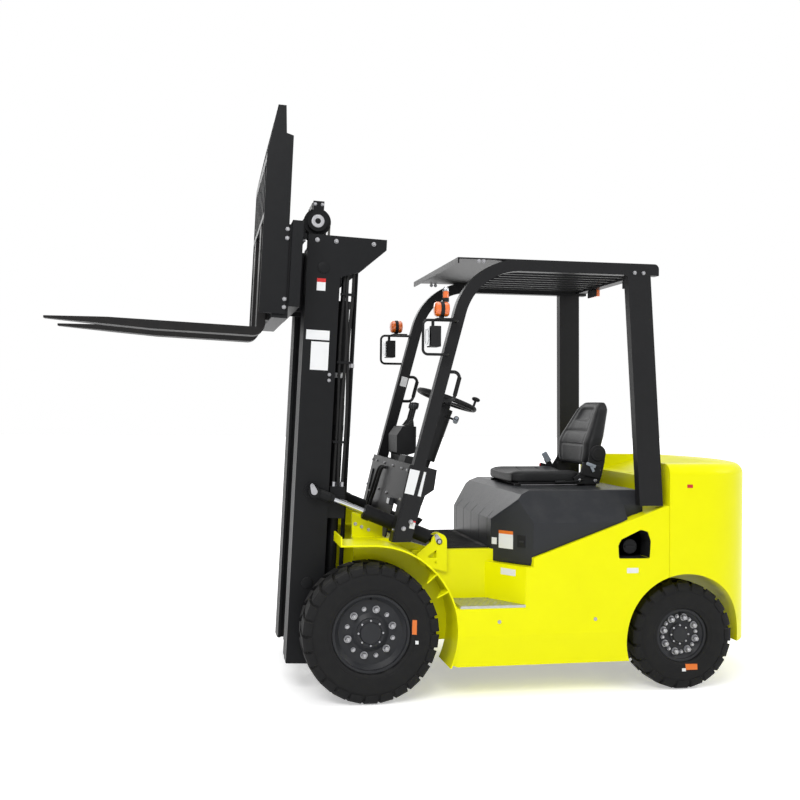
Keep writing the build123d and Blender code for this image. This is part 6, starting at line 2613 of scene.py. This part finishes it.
@dataclass
class Studio:
    """Pale floor, white surroundings and soft lamps.

    Args:
        floor_half: Half of the floor's width.
        white: Colour of the floor and the surroundings.
        fade: Distances between which the floor turns plain white.
        glow: Floor's own light near the truck and far from it, where it is seen.
        bounce: Floor's own light on the truck.
    """

    floor_half: float = 40.0
    white: tuple[float, float, float, float] = (1.0, 1.0, 1.0, 1.0)
    fade: tuple[float, float] = (2.2, 6.5)
    glow: tuple[float, float] = (0.42, 1.0)
    bounce: float = 0.12

    def build(self) -> None:
        """Makes the floor, the surroundings and the lamps."""
        self._world()
        self._floor()
        self._lamp("key_panel", (-2.6, -5.2, 5.4), (0.0, 0.0, 1.0), (4.6, 2.6), 310.0)
        self._lamp("top_panel", (0.6, -0.4, 6.2), (0.2, 0.0, 1.2), (5.0, 3.0), 85.0)
        self._lamp("rear_panel", (5.4, -2.0, 3.2), (0.8, 0.0, 1.0), (2.4, 2.4), 70.0)
        self._lamp("far_panel", (-1.0, 5.4, 4.2), (0.0, 0.0, 1.1), (4.0, 2.6), 70.0)

    def _world(self) -> None:
        """Makes the surroundings: white where they are seen, and a soft ramp that lights the truck."""
        world = bpy.data.worlds.new("studio_world")
        bpy.context.scene.world = world
        world.use_nodes = True
        tree = world.node_tree
        tree.nodes.clear()
        link = tree.links.new
        out = tree.nodes.new("ShaderNodeOutputWorld")
        seen = tree.nodes.new("ShaderNodeBackground")
        seen.inputs["Color"].default_value = self.white
        seen.inputs["Strength"].default_value = 1.0
        around = tree.nodes.new("ShaderNodeBackground")
        around.inputs["Strength"].default_value = 0.75
        place = tree.nodes.new("ShaderNodeTexCoord")
        split = tree.nodes.new("ShaderNodeSeparateXYZ")
        ramp = tree.nodes.new("ShaderNodeValToRGB")
        ramp.color_ramp.elements[0].position = 0.0
        ramp.color_ramp.elements[0].color = (0.12, 0.12, 0.125, 1.0)
        ramp.color_ramp.elements[1].position = 1.0
        ramp.color_ramp.elements[1].color = (0.8, 0.8, 0.8, 1.0)
        middle = ramp.color_ramp.elements.new(0.45)
        middle.color = (0.10, 0.10, 0.105, 1.0)
        lift = tree.nodes.new("ShaderNodeMapRange")
        lift.inputs["From Min"].default_value = -1.0
        lift.inputs["From Max"].default_value = 1.0
        mix = tree.nodes.new("ShaderNodeMixShader")
        link(place.outputs["Generated"], split.inputs["Vector"])
        link(split.outputs["Z"], lift.inputs["Value"])
        link(lift.outputs["Result"], ramp.inputs["Fac"])
        link(ramp.outputs["Color"], around.inputs["Color"])
        link(self._seen(tree), mix.inputs["Fac"])
        link(around.outputs["Background"], mix.inputs[1])
        link(seen.outputs["Background"], mix.inputs[2])
        link(mix.outputs["Shader"], out.inputs["Surface"])

    def _seen(self, tree: bpy.types.NodeTree) -> bpy.types.NodeSocket:
        """One where the surroundings are seen, mirrored or looked at through glass.

        Args:
            tree: Tree that gets the nodes.

        Returns:
            The value's socket.
        """
        path = tree.nodes.new("ShaderNodeLightPath")
        mirrored = tree.nodes.new("ShaderNodeMath")
        mirrored.operation = "MAXIMUM"
        either = tree.nodes.new("ShaderNodeMath")
        either.operation = "MAXIMUM"
        tree.links.new(path.outputs["Is Glossy Ray"], mirrored.inputs[0])
        tree.links.new(path.outputs["Is Transmission Ray"], mirrored.inputs[1])
        tree.links.new(path.outputs["Is Camera Ray"], either.inputs[0])
        tree.links.new(mirrored.outputs["Value"], either.inputs[1])
        return either.outputs["Value"]

    def _floor(self) -> None:
        """Makes the floor, which keeps the truck's shadow and fades to plain white away from it."""
        mesh = bmesh.new()
        bmesh.ops.create_grid(mesh, x_segments=1, y_segments=1, size=self.floor_half)
        data = bpy.data.meshes.new("studio_floor")
        mesh.to_mesh(data)
        mesh.free()
        floor = bpy.data.objects.new("studio_floor", data)
        floor.location.z = -0.0015
        bpy.context.scene.collection.objects.link(floor)
        material = bpy.data.materials.new("studio_floor")
        material.use_nodes = True
        tree = material.node_tree
        shader = tree.nodes["Principled BSDF"]
        noise = tree.nodes.new("ShaderNodeTexNoise")
        noise.inputs["Scale"].default_value = 0.6
        tone = tree.nodes.new("ShaderNodeMix")
        tone.data_type = "RGBA"
        tone.inputs["A"].default_value = (0.94, 0.94, 0.94, 1.0)
        tone.inputs["B"].default_value = (0.96, 0.96, 0.96, 1.0)
        tree.links.new(noise.outputs["Fac"], tone.inputs["Factor"])
        tree.links.new(tone.outputs["Result"], shader.inputs["Base Color"])
        shader.inputs["Roughness"].default_value = 0.7
        shader.inputs["Specular IOR Level"].default_value = 0.1
        shader.inputs["Emission Color"].default_value = self.white
        place = tree.nodes.new("ShaderNodeTexCoord")
        distance = tree.nodes.new("ShaderNodeVectorMath")
        distance.operation = "LENGTH"
        fade = tree.nodes.new("ShaderNodeMapRange")
        fade.interpolation_type = "SMOOTHSTEP"
        fade.inputs["From Min"].default_value = self.fade[0]
        fade.inputs["From Max"].default_value = self.fade[1]
        fade.inputs["To Min"].default_value = self.glow[0]
        fade.inputs["To Max"].default_value = self.glow[1]
        shown = tree.nodes.new("ShaderNodeMath")
        shown.operation = "MULTIPLY"
        least = tree.nodes.new("ShaderNodeMath")
        least.operation = "MAXIMUM"
        least.inputs[1].default_value = self.bounce
        tree.links.new(place.outputs["Object"], distance.inputs[0])
        tree.links.new(distance.outputs["Value"], fade.inputs["Value"])
        tree.links.new(fade.outputs["Result"], shown.inputs[0])
        tree.links.new(self._seen(tree), shown.inputs[1])
        tree.links.new(shown.outputs["Value"], least.inputs[0])
        tree.links.new(least.outputs["Value"], shader.inputs["Emission Strength"])
        data.materials.append(material)

    def _lamp(self, name: str, place: Point, target: Point, size: Pair, power: float) -> None:
        """Makes one soft lamp.

        Args:
            name: Its name.
            place: Where it hangs.
            target: Where it points.
            size: Its width and height.
            power: Its power in watts.
        """
        data = bpy.data.lights.new(name, "AREA")
        data.shape = "RECTANGLE"
        data.size = size[0]
        data.size_y = size[1]
        data.energy = power
        lamp = bpy.data.objects.new(name, data)
        lamp.location = place
        lamp.rotation_euler = (Vector(target) - Vector(place)).to_track_quat("-Z", "Y").to_euler()
        bpy.context.scene.collection.objects.link(lamp)


def parts(nodes: dict[str, bpy.types.Object], library: Library) -> list[Part]:
    """Sub-assemblies in the order that they are made.

    Args:
        nodes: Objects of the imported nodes, by name.
        library: Holds the materials.

    Returns:
        The sub-assemblies.
    """
    kinds = (
        PackedNodes,
        Tyres,
        WheelFaces,
        MastFittings,
        RearLiftChains,
        TiltPins,
        BodyFittings,
        Controls,
        Lamps,
        Seat,
    )
    return [kind(nodes, library) for kind in kinds]


def main() -> None:
    """Builds the scene piece by piece and logs each one."""
    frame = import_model()
    scene = bpy.context.scene
    scene.view_settings.view_transform = "Standard"
    library = Library()
    PhotoView().build()
    Studio().build()
    for part in parts(frame["nodes"], library):
        names = part.build()
        LOG.info("%s: %s", type(part).__name__, ", ".join(names))


if __name__ == "__main__":
    main()
